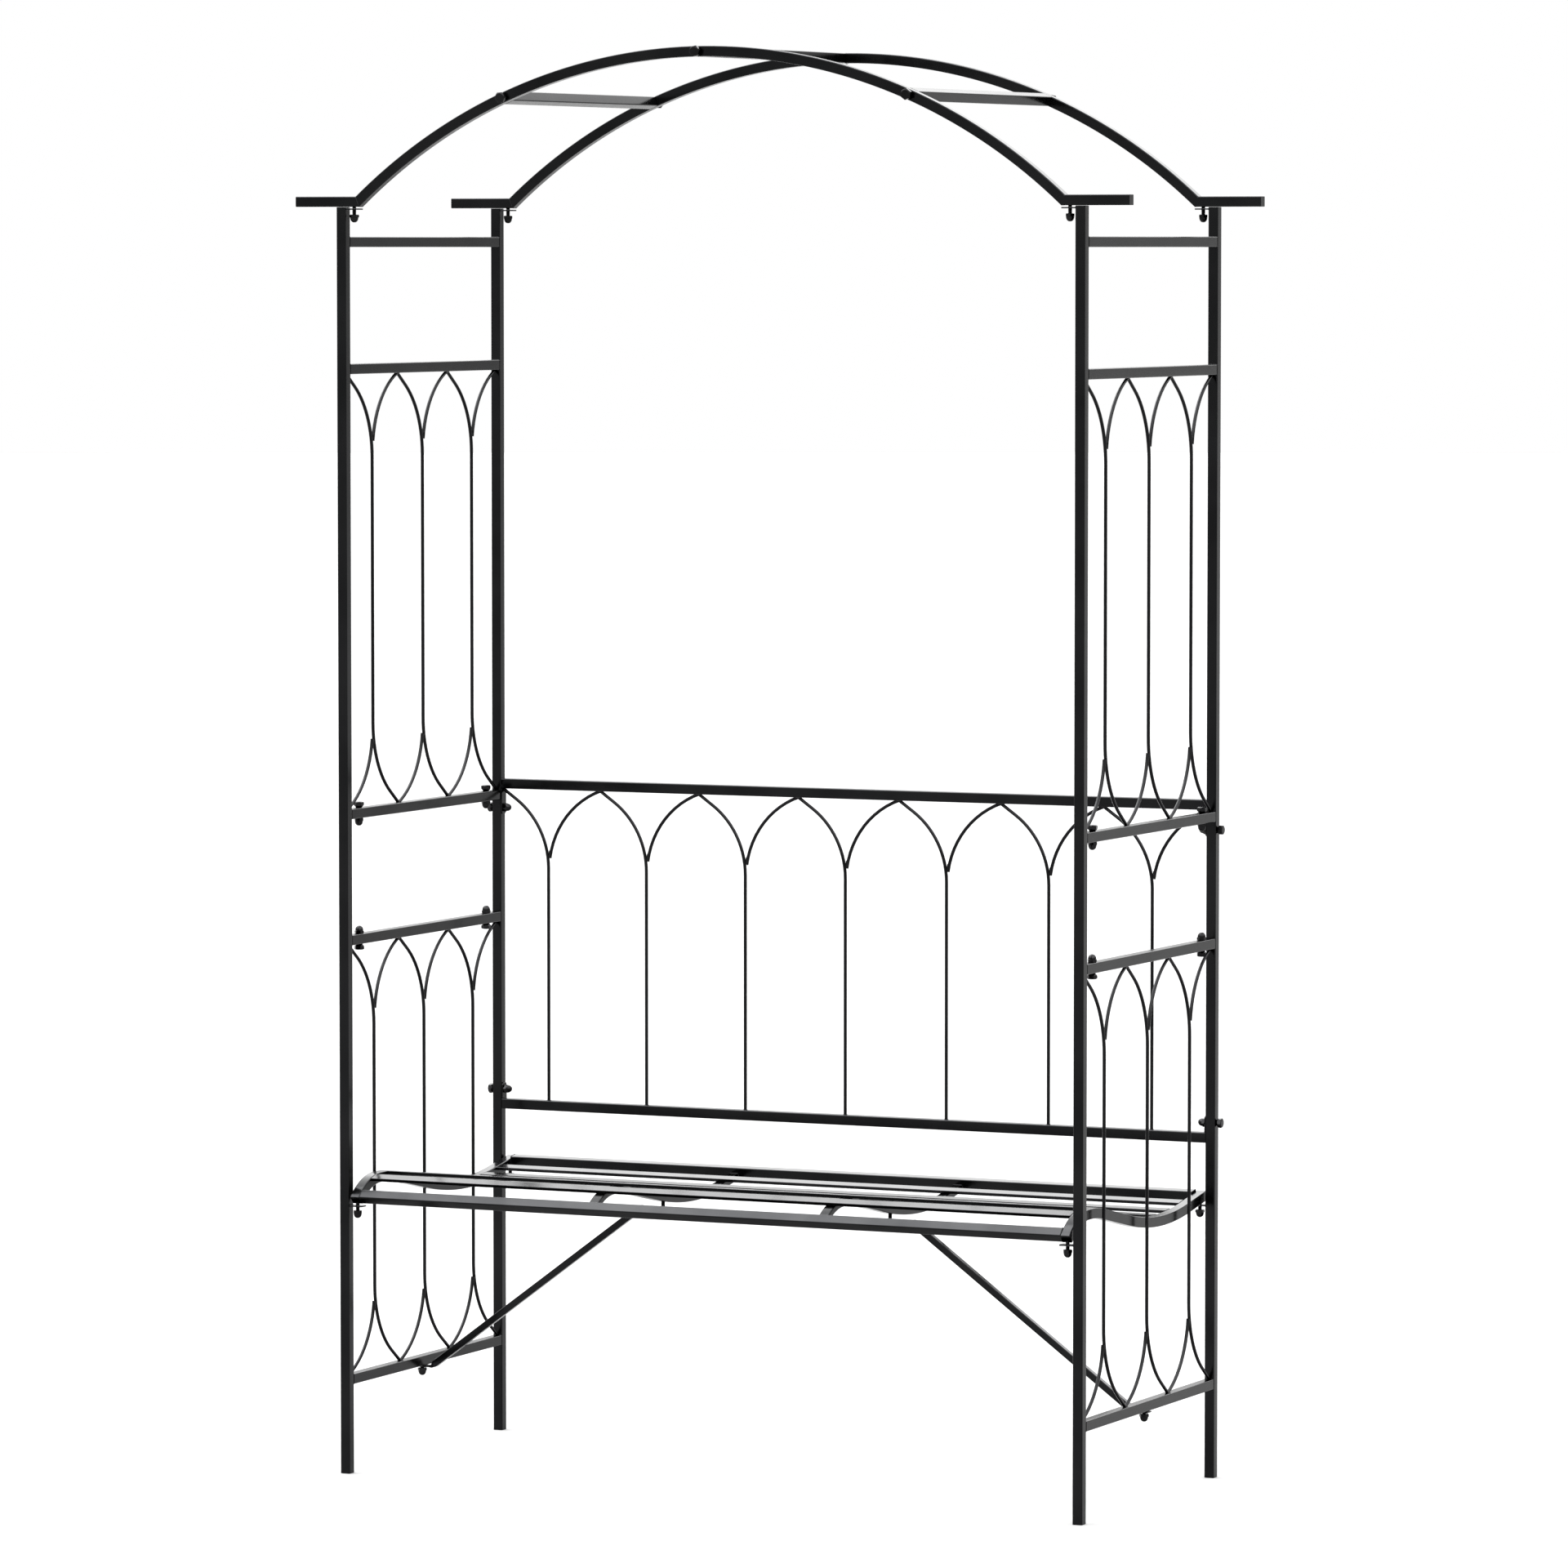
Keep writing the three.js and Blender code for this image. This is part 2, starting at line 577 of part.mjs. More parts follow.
// Its front end is cut along the front rail's face, and its rear end butts the rear rail.
function seatSupport(side) {
  const low = -HALF;
  const high = low + SUPPORT_HEIGHT;
  const stations = trimmedStations(WALL, REAR_RAIL_SETBACK + HALF + GAP);
  let solid = sidePlate(seatOutline(stations, low, high), TUBE);
  const hollow = seatOutline(stations, low + WALL, high - WALL);
  solid = solid.subtract(sidePlate(hollow, TUBE - 2 * WALL));
  const [cutY, cutZ] = offsetPoint(STATIONS[0], 0, TUBE + GAP);
  const keep = box(-TUBE, TUBE, 0, 2 * POST_Y, -2 * POST_Y, 2 * POST_Y);
  solid = solid.intersect(keep.rotate([45, 0, 0]).translate([0, cutY, cutZ]));
  const { z } = stationAt(BRACE_Y);
  solid = solid.subtract(shank(BOLT_HOLE, z - TUBE, z - HALF / 2).translate([0, BRACE_Y, 0]));
  addPiece(`seat_support_${side}`, solid, tubeCoat, SIDES[side] * SUPPORT_X, 0, 0);
}

// The front rail lies on its edge, in line with the front ends of the side rails.
function seatFrontRail() {
  const [y, z] = offsetPoint(STATIONS[0], 0, HALF);
  const solid = alongX(tube(TUBE, TUBE, WALL, SEAT_LENGTH)).rotate([45, 0, 0]);
  addPiece("seat_rail_front", solid, tubeCoat, 0, y, z);
}

function seatRearRail() {
  const last = STATIONS[STATIONS.length - 1];
  const [y, z] = offsetPoint(last, REAR_RAIL_RISE, -REAR_RAIL_SETBACK);
  const flat = alongX(tube(TUBE, TUBE, WALL, SEAT_LENGTH));
  const solid = flat.rotate([THREE.MathUtils.radToDeg(last.angle), 0, 0]);
  addPiece("seat_rail_rear", solid, tubeCoat, 0, y, z);
}

// Flat bar whose top is flush with the side rails' top faces.
function seatSlat(number) {
  const surface = STATIONS.map((station) => {
    const [y, z] = offsetPoint(station, HALF);
    return { y, z, angle: station.angle };
  });
  const top = stationAt(SLAT_FIRST_Y + (number - 1) * SLAT_PITCH, surface);
  const [y, z] = offsetPoint(top, -SLAT_THICKNESS / 2);
  const half = SEAT_LENGTH / 2;
  const thick = SLAT_THICKNESS / 2;
  const flat = box(-half, half, -SLAT_WIDTH / 2, SLAT_WIDTH / 2, -thick, thick);
  const solid = flat.rotate([THREE.MathUtils.radToDeg(top.angle), 0, 0]);
  addPiece(`seat_slat_${number}`, solid, tubeCoat, 0, y, z);
}

// ---- Braces ---------------------------------------------------------------------------

// A bar in the X-Z plane between two points, with a thickness across it and a depth along Y.
function slantedBar(from, to, thickness, depth) {
  const angle = Math.atan2(to.z - from.z, to.x - from.x);
  const length = Math.hypot(to.x - from.x, to.z - from.z);
  const bar = box(0, length, -depth / 2, depth / 2, -thickness / 2, thickness / 2);
  const turned = bar.rotate([0, -THREE.MathUtils.radToDeg(angle), 0]);
  return turned.translate([from.x, 0, from.z]);
}

// Square tube whose ends are pressed flat and bent level: the low one is bolted under the
// bottom side rail, and the high one under the seat support.
function brace(side) {
  const lowZ = SIDE_RAIL_Z.bottom - HALF - GAP - BRACE_TAB / 2;
  const lowTab = [{ x: BRACE_LOW_END_X, z: lowZ }, { x: BRACE_FOOT.x - HALF, z: lowZ }];
  const highStart = { x: BRACE_HEAD.x + BRACE_BITE, z: BRACE_HIGH_TAB_Z };
  const highTab = [highStart, { x: BRACE_HIGH_END_X, z: BRACE_HIGH_TAB_Z }];
  const inner = BRACE - 2 * WALL;
  let solid = slantedBar(BRACE_FOOT, BRACE_HEAD, BRACE, BRACE);
  solid = solid.add(slantedBar(...lowTab, BRACE_TAB, BRACE_TAB_WIDTH));
  solid = solid.add(slantedBar(...highTab, BRACE_TAB, BRACE_TAB_WIDTH));
  const along = new THREE.Vector2(BRACE_HEAD.x - BRACE_FOOT.x, BRACE_HEAD.z - BRACE_FOOT.z).normalize();
  const inset = ({ x, z }, distance) => ({ x: x + along.x * distance, z: z + along.y * distance });
  const ends = [inset(BRACE_FOOT, BRACE / 2), inset(BRACE_HEAD, -BRACE / 2)];
  solid = solid.subtract(slantedBar(...ends, inner, inner));
  const vent = shank(BRACE_VENT, BRACE_FOOT.z - BRACE, BRACE_FOOT.z + BRACE);
  solid = solid.subtract(vent.translate([BRACE_FOOT.x - 2 * BRACE, 0, 0]));
  solid = solid.subtract(shank(BOLT_HOLE, lowZ - TAB, lowZ + TAB).translate([POST_X, 0, 0]));
  const high = shank(BOLT_HOLE, BRACE_HIGH_TAB_Z - TAB, BRACE_HIGH_TAB_Z + TAB);
  solid = solid.subtract(high.translate([SUPPORT_X, 0, 0]));
  const sided = side === "left" ? solid.mirror([1, 0, 0]) : solid;
  addPiece(`brace_${side}`, sided, tubeCoat, 0, BRACE_Y, 0);
}

// ---- Loose fasteners ------------------------------------------------------------------

function archStud(end, side) {
  const height = ARCH_SPRING_Z - ARCH_NUT_Z;
  const solid = cappedStud(height);
  addPiece(`arch_stud_${end}_${side}`, solid, boltCoat, SIDES[side] * STUD_X, ENDS[end] * POST_Y, ARCH_NUT_Z);
}

function seatStud(end, side) {
  const nutZ = SEAT_TAB_Z[end] - SEAT_NUT_DROP;
  const height = SEAT_TAB_Z[end] + TUBE / 2 + 2 - nutZ;
  const solid = cappedStud(height);
  addPiece(`seat_stud_${end}_${side}`, solid, boltCoat, SIDES[side] * SEAT_RAIL_X, ENDS[end] * POST_Y, nutZ);
}

function backrestBolt(level, side) {
  const sideX = SIDES[side];
  const solid = cappedBolt(TUBE + EAR + 3 * GAP).rotate([0, sideX * 90, 0]);
  const seat = sideX * (POST_X + HALF + GAP);
  addPiece(`backrest_bolt_${level}_${side}`, solid, boltCoat, seat, POST_Y, BACK_BOLT_Z[level]);
}

function braceStud(level, side) {
  const low = level === "lower";
  const tabZ = low ? SIDE_RAIL_Z.bottom - HALF - GAP - BRACE_TAB / 2 : BRACE_HIGH_TAB_Z;
  const nutZ = tabZ - BRACE_TAB / 2 - (low ? BRACE_NUT_DROP : GAP);
  const height = low ? SIDE_RAIL_Z.bottom - nutZ : stationAt(BRACE_Y).z - nutZ - 2;
  const x = SIDES[side] * (low ? POST_X : SUPPORT_X);
  addPiece(`brace_stud_${level}_${side}`, cappedStud(height), boltCoat, x, BRACE_Y, nutZ);
}

// ---- Assembly -------------------------------------------------------------------------

for (const end of Object.keys(ENDS)) {
  arch(end);
  for (const side of Object.keys(SIDES)) {
    post(end, side);
    archStud(end, side);
    seatStud(end, side);
  }
}
for (const side of Object.keys(SIDES)) {
  for (const level of Object.keys(SIDE_RAIL_Z)) sideRail(level, side);
  for (const panel of ["upper", "lower"]) sideLattice(panel, side);
  for (const level of Object.keys(BACK_BOLT_Z)) backrestBolt(level, side);
  for (const level of ["lower", "upper"]) braceStud(level, side);
  seatSideRail(side);
  seatSupport(side);
  brace(side);
}
for (const side of Object.keys(CROSSBAR_X)) crossbar(side);
backrestRail("top", BACK_TOP_Z);
backrestRail("bottom", BACK_BOTTOM_Z);
backrestLattice();
seatFrontRail();
seatRearRail();
for (let number = 1; number <= SLAT_COUNT; number += 1) seatSlat(number);

export default group;
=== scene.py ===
"""Looks of the garden trellis arch with a bench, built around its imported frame.

Metres, +X to the right seen from the front, +Y towards the backrest, +Z up.
"""
import math
import random

import bmesh
import bpy
from mathutils import Matrix, Vector


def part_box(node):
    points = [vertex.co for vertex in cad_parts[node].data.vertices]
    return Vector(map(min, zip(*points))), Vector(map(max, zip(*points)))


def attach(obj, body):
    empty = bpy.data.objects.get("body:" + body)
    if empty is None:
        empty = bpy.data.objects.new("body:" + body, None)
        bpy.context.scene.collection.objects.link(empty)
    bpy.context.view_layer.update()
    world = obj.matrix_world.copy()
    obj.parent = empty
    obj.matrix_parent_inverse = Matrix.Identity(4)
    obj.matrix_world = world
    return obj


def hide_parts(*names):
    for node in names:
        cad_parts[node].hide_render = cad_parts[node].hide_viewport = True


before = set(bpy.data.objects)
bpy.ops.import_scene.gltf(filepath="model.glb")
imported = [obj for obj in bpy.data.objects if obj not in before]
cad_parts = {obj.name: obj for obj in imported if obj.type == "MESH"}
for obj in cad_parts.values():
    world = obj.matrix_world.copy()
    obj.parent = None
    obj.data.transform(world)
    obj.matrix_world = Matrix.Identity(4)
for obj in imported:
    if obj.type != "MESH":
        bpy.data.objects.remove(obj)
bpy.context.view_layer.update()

MM = 0.001
RANDOM = random.Random(7)

# ---- Stock sizes, as in the solids -------------------------------------------------------

TUBE = 15 * MM
WALL = 1 * MM
CORNER = 1.6 * MM  # outer corner radius of drawn square tube
EASE = 0.35 * MM  # softened cut ends
HALF = TUBE / 2
ROD = 5 * MM
GAP = 0.3 * MM
SINK = 1.5 * MM  # how far a welded rod end reaches into its rail

X_AXIS = Vector((1, 0, 0))
Y_AXIS = Vector((0, 1, 0))
Z_AXIS = Vector((0, 0, 1))
SIDES = {"left": -1, "right": 1}
ENDS = {"front": -1, "back": 1}

# ---- Places ------------------------------------------------------------------------------
# The boxes of the nodes give some places. The rest repeat the solids' own dimensions.

POST_X = abs(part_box("side_rail_top_right")[0].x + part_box("side_rail_top_right")[1].x) / 2
POST_Y = abs(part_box("arch_back")[0].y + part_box("arch_back")[1].y) / 2
POST_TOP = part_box("post_front_left")[1].z
ARCH_TIP_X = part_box("arch_front")[1].x
ARCH_SPRING_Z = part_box("arch_front")[0].z + HALF
ARCH_CROWN_Z = 2062.4 * MM
ARCH_BEND_X = 553 * MM
CROSSBAR_X = {"left": -317.6 * MM, "center": -9.7 * MM, "right": 317.6 * MM}
SIDE_RAIL_Z = {
    "top": 1793.2 * MM,
    "upper": 1609.5 * MM,
    "mid_upper": 963.5 * MM,
    "mid_lower": 779.6 * MM,
    "bottom": 137.4 * MM,
}
BACK_RAIL_Z = {"top": 980.3 * MM, "bottom": 496.5 * MM}
BACK_BOLT_Z = {"top": 944.3 * MM, "bottom": 518.5 * MM}
RAIL_BOLT_Y = 203.7 * MM
STUD_X = 561.2 * MM
ARCH_TAB_Z = 1840.5 * MM
ARCH_NUT_Z = 1832.7 * MM
SEAT_TAB_Z = {"front": 392.9 * MM, "back": 397.4 * MM}
SEAT_NUT_DROP = 6.4 * MM
TAB = 2 * MM
TAB_REACH = 21.6 * MM
TONGUE = 12 * MM
TONGUE_LENGTH = 45 * MM
TAB_CORNER = 2 * MM
EAR = 1.5 * MM
EAR_WIDTH = 14 * MM
EAR_OVERHANG = 10 * MM  # ear beyond the bolt
EAR_CORNER = 5 * MM
HOLE_RADIUS = 3.3 * MM
TAB_ROOT = 0.3 * MM  # how far a welded tab reaches into its post
TONGUE_ROOT = 0.5 * MM
PLUG_FIT = 0.1 * MM  # play of the plug in the foot of a post
PLUG_SPAN = (0.4 * MM, 12 * MM)  # its lowest and highest point

# ---- Trellis rods ------------------------------------------------------------------------

SIDE_CELLS = 3
BACK_CELLS = 7
BACK_ROD_SHIFT = -5.3 * MM
BEND_RADIUS = 125 * MM
BEND_ANGLE = math.radians(55)
ARC_LEAN = math.radians(8)
ARC_STEP = 2.5 * MM
ARC_DROP = {"side": 98 * MM, "back": 103 * MM}
SEAM_LIFT = 1.5 * MM  # welds between rods lie this far off their plane
TIP_LIFT = 1.9 * MM
TIP_WELD = 3 * MM  # half the length of the weld at a rod's end

# ---- Seat --------------------------------------------------------------------------------

SEAT_RAIL_X = 561 * MM
SUPPORT_X = 182 * MM
SUPPORT_HEIGHT = 10 * MM
SEAT_CREST = (-184 * MM, 429.3 * MM)
SEAT_CREST_RADIUS = 95 * MM
SEAT_CREST_LENGTH = 9 * MM
SEAT_FRONT_ANGLE = math.radians(45)
SEAT_FALL_RADIUS = 212.5 * MM
SEAT_SLOPE = math.radians(11.5)
SEAT_SLOPE_LENGTH = 104.7 * MM
SEAT_DIP_RADIUS = 607 * MM
SEAT_REAR_ANGLE = math.radians(9.5)
SEAT_REAR_LENGTH = 63.4 * MM
REAR_RAIL_RISE = 2.9 * MM
REAR_RAIL_SETBACK = 12.5 * MM
SLAT_COUNT = 9
SLAT_EDGE = 0.7 * MM
SLAT_WELD = 7.5 * MM  # half the length of the weld at a slat's end
SLAT_WELD_DROP = 2.4 * MM

# ---- Braces ------------------------------------------------------------------------------

BRACE = 10 * MM
BRACE_Y = -8.5 * MM
BRACE_FOOT = (560.8 * MM, 130.4 * MM)
BRACE_HEAD = (219 * MM, 381.5 * MM)
BRACE_CORNER = 1.2 * MM
BRACE_TAB = 2 * MM
BRACE_TAB_WIDTH = 16 * MM
BRACE_CLOSING = (14 * MM, 4.5 * MM)  # width and height where the tube closes to the flat end
BRACE_BEND = (0.5 * MM, 0.4 * MM)  # place of that section off the bend, across and up
BRACE_FLAT = 4 * MM  # from the bend to where the end is flat
BRACE_SQUARE = 4.5 * MM  # from the bend to where the tube is square
BRACE_LOW_END_X = 587.3 * MM
BRACE_HIGH_END_X = 168 * MM
BRACE_HIGH_TAB_Z = 384 * MM

# ---- Fasteners ---------------------------------------------------------------------------

SHANK_RADIUS = 3 * MM
THREAD_PITCH = 1 * MM
THREAD_DEPTH = 0.5 * MM
HEAD_FLATS = 13 * MM
CROSSBAR_HEAD_FLATS = 14.5 * MM
HEAD_SEAT = 8.5 * MM  # diameter of the seat
HEAD_CONE = 2.7 * MM
HEAD_HEIGHT = 6 * MM
HEAD_CROWN = 0.86  # flat top of a head, as a share of its flats
NUT_FLATS = 12 * MM
NUT_HEIGHT = 4.5 * MM
NUT_CROWN = 0.94  # flat face of a nut, as a share of its flats
NUT_DOME = 7 * MM
NUT_DOME_WIDTH = 0.985  # its dome's foot, as a share of its flats
SHANK_PAST = 1 * MM  # shank hidden in a head or a nut
CROSSBAR_SHANK = 8 * MM  # shank beyond the beam, inside the crossbar

BEAD = 0.6 * MM  # weld bead radius round a tube
TIP_BEAD = 0.7 * MM
TAB_BEAD = 0.8 * MM
SUPPORT_BEAD = 0.9 * MM
SLAT_BEAD = 1.0 * MM
RIPPLE = 0.9 * MM  # spacing of a bead's ripples

SHARP = math.radians(32)  # edges that bend more than this stay sharp

# ---- Studio ------------------------------------------------------------------------------

CAMERA_PLACE = (5.0586, -10.858, 1.7868)
CAMERA_DOWN = math.radians(3.714)
CAMERA_TURN = math.radians(24.941)
CAMERA_LENS = 190.15
FLOOR_RADIUS = 60
FLOOR_TONE = (0.19, 0.19, 0.19, 1)  # mid grey, which the bright sky above shows as white
SKY_STRENGTH = (1.0, 6.0)  # at the horizon and overhead
SKY_RISE = (0.2, 0.5)  # heights between which it brightens
SOFTBOX_PLACE = (-2.2, -0.6, 5.3)
SOFTBOX_SIZE = 3.5
SOFTBOX_POWER = 400


# ---- Materials ---------------------------------------------------------------------------


def add_node(tree, kind, **inputs):
    node = tree.nodes.new(kind)
    for name, value in inputs.items():
        node.inputs[name.replace("_", " ")].default_value = value
    return node


def coated_metal(name, dark, light, roughness, grain, bump):
    """Powder coat with fine grain and slow changes in tone and gloss, set up as a dark metal."""
    material = bpy.data.materials.new(name)
    material.use_nodes = True
    tree = material.node_tree
    shader = tree.nodes["Principled BSDF"]
    shader.inputs["Metallic"].default_value = 1.0
    shader.inputs["Specular Tint"].default_value = (0.85, 0.85, 0.85, 1)
    place = tree.nodes.new("ShaderNodeTexCoord").outputs["Object"]

    def noise(scale, detail):
        node = add_node(tree, "ShaderNodeTexNoise", Scale=scale, Detail=detail, Roughness=0.55)
        tree.links.new(place, node.inputs["Vector"])
        return node.outputs["Fac"]

    slow = noise(9.0, 3.0)
    tone = tree.nodes.new("ShaderNodeValToRGB")
    low, high = 0.3, 0.7
    tone.color_ramp.elements[0].position = low
    tone.color_ramp.elements[0].color = (*dark, 1)
    tone.color_ramp.elements[1].position = high
    tone.color_ramp.elements[1].color = (*light, 1)
    tree.links.new(slow, tone.inputs["Fac"])
    tree.links.new(tone.outputs["Color"], shader.inputs["Base Color"])

    gloss = add_node(tree, "ShaderNodeMapRange", To_Min=roughness[0], To_Max=roughness[1])
    gloss.inputs["From Min"].default_value = low
    gloss.inputs["From Max"].default_value = high
    tree.links.new(noise(60.0, 4.0), gloss.inputs["Value"])
    tree.links.new(gloss.outputs["Result"], shader.inputs["Roughness"])

    skin = add_node(tree, "ShaderNodeBump", Strength=bump, Distance=0.15 * MM)
    tree.links.new(noise(grain, 2.0), skin.inputs["Height"])
    tree.links.new(skin.outputs["Normal"], shader.inputs["Normal"])
    return material


FRAME_COAT = coated_metal(
    "satin_powder_coat",
    dark=(0.0095, 0.0097, 0.0102),
    light=(0.0145, 0.0147, 0.0152),
    roughness=(0.16, 0.22),
    grain=900.0,
    bump=0.015,
)
HARDWARE_COAT = coated_metal(
    "black_hardware",
    dark=(0.0085, 0.0085, 0.0088),
    light=(0.0190, 0.0190, 0.0196),
    roughness=(0.16, 0.24),
    grain=1500.0,
    bump=0.02,
)


# ---- Mesh building -----------------------------------------------------------------------


def add_piece(name, bm, material, *nodes):
    """Makes an object of a finished mesh, riding on the frame in place of the given CAD nodes."""
    bmesh.ops.recalc_face_normals(bm, faces=bm.faces)
    mesh = bpy.data.meshes.new(name)
    bm.to_mesh(mesh)
    bm.free()
    mesh.shade_smooth()
    mesh.set_sharp_from_angle(angle=SHARP)
    mesh.materials.append(material)
    piece = bpy.data.objects.new(name, mesh)
    bpy.context.scene.collection.objects.link(piece)
    piece.modifiers.new("even_normals", "WEIGHTED_NORMAL").keep_sharp = True
    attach(piece, "root")
    if nodes:
        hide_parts(*nodes)


def loft(bm, rings, around=False):
    """Skins rings of points with quads, and closes the ends, or joins last to first."""
    rows = [[bm.verts.new(point) for point in ring] for ring in rings]
    pairs = list(zip(rows, rows[1:]))
    if around:
        pairs.append((rows[-1], rows[0]))
    count = len(rows[0])
    for low, high in pairs:
        for i in range(count):
            j = (i + 1) % count
            bm.faces.new((low[i], low[j], high[j], high[i]))
    if not around:
        bm.faces.new(rows[0][::-1])
        bm.faces.new(rows[-1])


def rounded(width, height, radius, steps=4):
    """Outline of a rectangle with round corners, as (across, up) pairs."""
    points = []
    for quarter, (sx, sy) in enumerate(((1, 1), (-1, 1), (-1, -1), (1, -1))):
        for i in range(steps + 1):
            angle = (quarter + i / steps) * math.pi / 2
            across = sx * (width / 2 - radius) + radius * math.cos(angle)
            up = sy * (height / 2 - radius) + radius * math.sin(angle)
            points.append((across, up))
    return points


def full_turn(sides):
    """Angles of the corners of a round section."""
    return [2 * math.pi * i / sides for i in range(sides)]


def round_ring(place, across, up, radius, sides):
    angles = full_turn(sides)
    return [place + across * radius * math.cos(a) + up * radius * math.sin(a) for a in angles]


def ring(station, section):
    place, across, up = station
    return [place + across * a + up * b for a, b in section]


def slid(station, distance):
    """The station moved along the tube."""
    place, across, up = station
    return place + across.cross(up).normalized() * distance, across, up


def tube(bm, stations, width=TUBE, height=TUBE, wall=WALL, open_ends=True):
    """Square tube through stations of (place, across, up), with softened rims at its ends."""
    way = (stations[-1][0] - stations[0][0]).dot(stations[0][1].cross(stations[0][2]))
    forward = 1 if way > 0 else -1
    outer = rounded(width, height, CORNER)
    rim = rounded(width - 2 * EASE, height - 2 * EASE, CORNER - EASE)
    first, last = stations[0], stations[-1]
    rings = [ring(first, rim), ring(slid(first, forward * EASE), outer)]
    rings += [ring(station, outer) for station in stations[1:-1]]
    rings += [ring(slid(last, -forward * EASE), outer), ring(last, rim)]
    if open_ends:
        inner = rounded(width - 2 * wall, height - 2 * wall, CORNER - wall)
        rings += [ring(station, inner) for station in reversed(stations)]
    loft(bm, rings, around=open_ends)


def straight_tube(bm, start, end, across, up, **sizes):
    tube(bm, [(start, across, up), (end, across, up)], **sizes)


def rod(bm, points):
    """Round rod through points in the plane square to X."""
    sides = 14
    rings = []
    for i, point in enumerate(points):
        before = points[max(i - 1, 0)]
        after = points[min(i + 1, len(points) - 1)]
        up = (after - before).normalized().cross(X_AXIS)
        rings.append(round_ring(point, X_AXIS, up, ROD / 2, sides))
    loft(bm, rings)


def bead(bm, points, radius=BEAD, around=False):
    """Weld bead: a string of overlapping ripples laid along points."""
    sides = 8
    path = []
    spans = list(zip(points, points[1:] + points[:1] if around else points[1:]))
    for start, end in spans:
        count = max(2, round((end - start).length / RIPPLE))
        path += [start.lerp(end, i / count) for i in range(count)]
    if not around:
        path.append(points[-1])
    rings = []
    side = None
    for i, point in enumerate(path):
        before = path[i - 1] if around or i else point
        after = path[(i + 1) % len(path)] if around or i < len(path) - 1 else point
        tangent = (after - before).normalized()
        carried = side - tangent * side.dot(tangent) if side else tangent.orthogonal()
        side = carried.normalized()
        up = tangent.cross(side)
        taper = 1.0 if around else min(1.0, 0.45 + 0.3 * min(i, len(path) - 1 - i))
        size = radius * taper * (1 + 0.04 * (-1) ** i + RANDOM.uniform(-0.04, 0.04))
        rings.append(round_ring(point, side, up, size, sides))
    loft(bm, rings, around=around)


def square_bead(bm, place, across, up, width, height, radius=BEAD):
    """Bead round the joint of a tube that butts a face."""
    outline = rounded(width, height, CORNER, steps=2)
    bead(bm, [place + across * a + up * b for a, b in outline], radius, around=True)


def spin(bm, place, profile):
    """Turns a profile of (radius, height) about Z. Either may be a function of the angle."""
    sides = 48
    rings = []
    for radius, height in profile:
        points = []
        for angle in full_turn(sides):
            r = radius(angle) if callable(radius) else radius
            z = height(angle) if callable(height) else height
            points.append(place @ Vector((r * math.cos(angle), r * math.sin(angle), z)))
        rings.append(points)
    loft(bm, rings)


def hexagon(flats):
    """Distance from the middle of a hexagon to its side, by angle."""
    sector = math.pi / 3
    return lambda angle: flats / 2 / math.cos((angle + sector / 2) % sector - sector / 2)


def plate(bm, low, high, hole, corner):
    """Level plate between two points, with round corners and one round bolt hole through it."""
    sides = 48
    chamfer = 0.25 * MM
    step = 0.1 * MM
    middle = (low + high) / 2
    half_x = (high.x - low.x) / 2
    half_y = (high.y - low.y) / 2
    radius = min(corner, half_x * 0.9, half_y * 0.9)

    def edge(angle):
        way = Vector((math.cos(angle), math.sin(angle)))
        reach = 0.0
        while True:
            x = abs(hole[0] + way.x * (reach + step) - middle.x) - (half_x - radius)
            y = abs(hole[1] + way.y * (reach + step) - middle.y) - (half_y - radius)
            if math.hypot(max(x, 0), max(y, 0)) > radius:
                return reach
            reach += step

    def loop(z, radii):
        pairs = zip(angles, radii)
        return [Vector((hole[0] + r * math.cos(a), hole[1] + r * math.sin(a), z)) for a, r in pairs]

    angles = full_turn(sides)
    reaches = [edge(angle) for angle in angles]
    levels = (
        (low.z, chamfer),
        (low.z + chamfer, 0),
        (high.z - chamfer, 0),
        (high.z, chamfer),
    )
    rings = [loop(z, [reach - shrink for reach in reaches]) for z, shrink in levels]
    rings += [loop(z, [HOLE_RADIUS] * sides) for z in (high.z, low.z)]
    loft(bm, rings, around=True)


# ---- Fasteners ---------------------------------------------------------------------------


def bolt_head(bm, place, flats):
    """Hexagon head on a tapered seat, standing on z = 0 and pointing up."""
    side = hexagon(flats)
    seat = HEAD_SEAT / 2
    taper = HEAD_CONE / (flats / 2 - seat)
    top = HEAD_CONE + HEAD_HEIGHT
    crown = flats / 2 * HEAD_CROWN
    spin(bm, place, [
        (seat, 0),
        (side, lambda angle: (side(angle) - seat) * taper),
        (side, lambda angle: top - (side(angle) - crown) * 0.6),
        (crown, top),
        (crown * 0.8, top),
    ])


def cap_nut(bm, place):
    """Domed nut hanging from z = 0."""
    side = hexagon(NUT_FLATS)
    crown = NUT_FLATS / 2 * NUT_CROWN
    dome = NUT_FLATS / 2 * NUT_DOME_WIDTH
    profile = [
        (crown * 0.9, 0),
        (crown, 0),
        (side, lambda angle: -(side(angle) - crown) * 0.5),
        (side, lambda angle: -NUT_HEIGHT + (side(angle) - dome) * 0.5),
        (dome, -NUT_HEIGHT),
    ]
    steps = 11
    for i in range(1, steps):
        angle = i / steps * math.pi / 2
        profile.append((dome * math.cos(angle) ** 0.85, -NUT_HEIGHT - NUT_DOME * math.sin(angle)))
    spin(bm, place, profile)


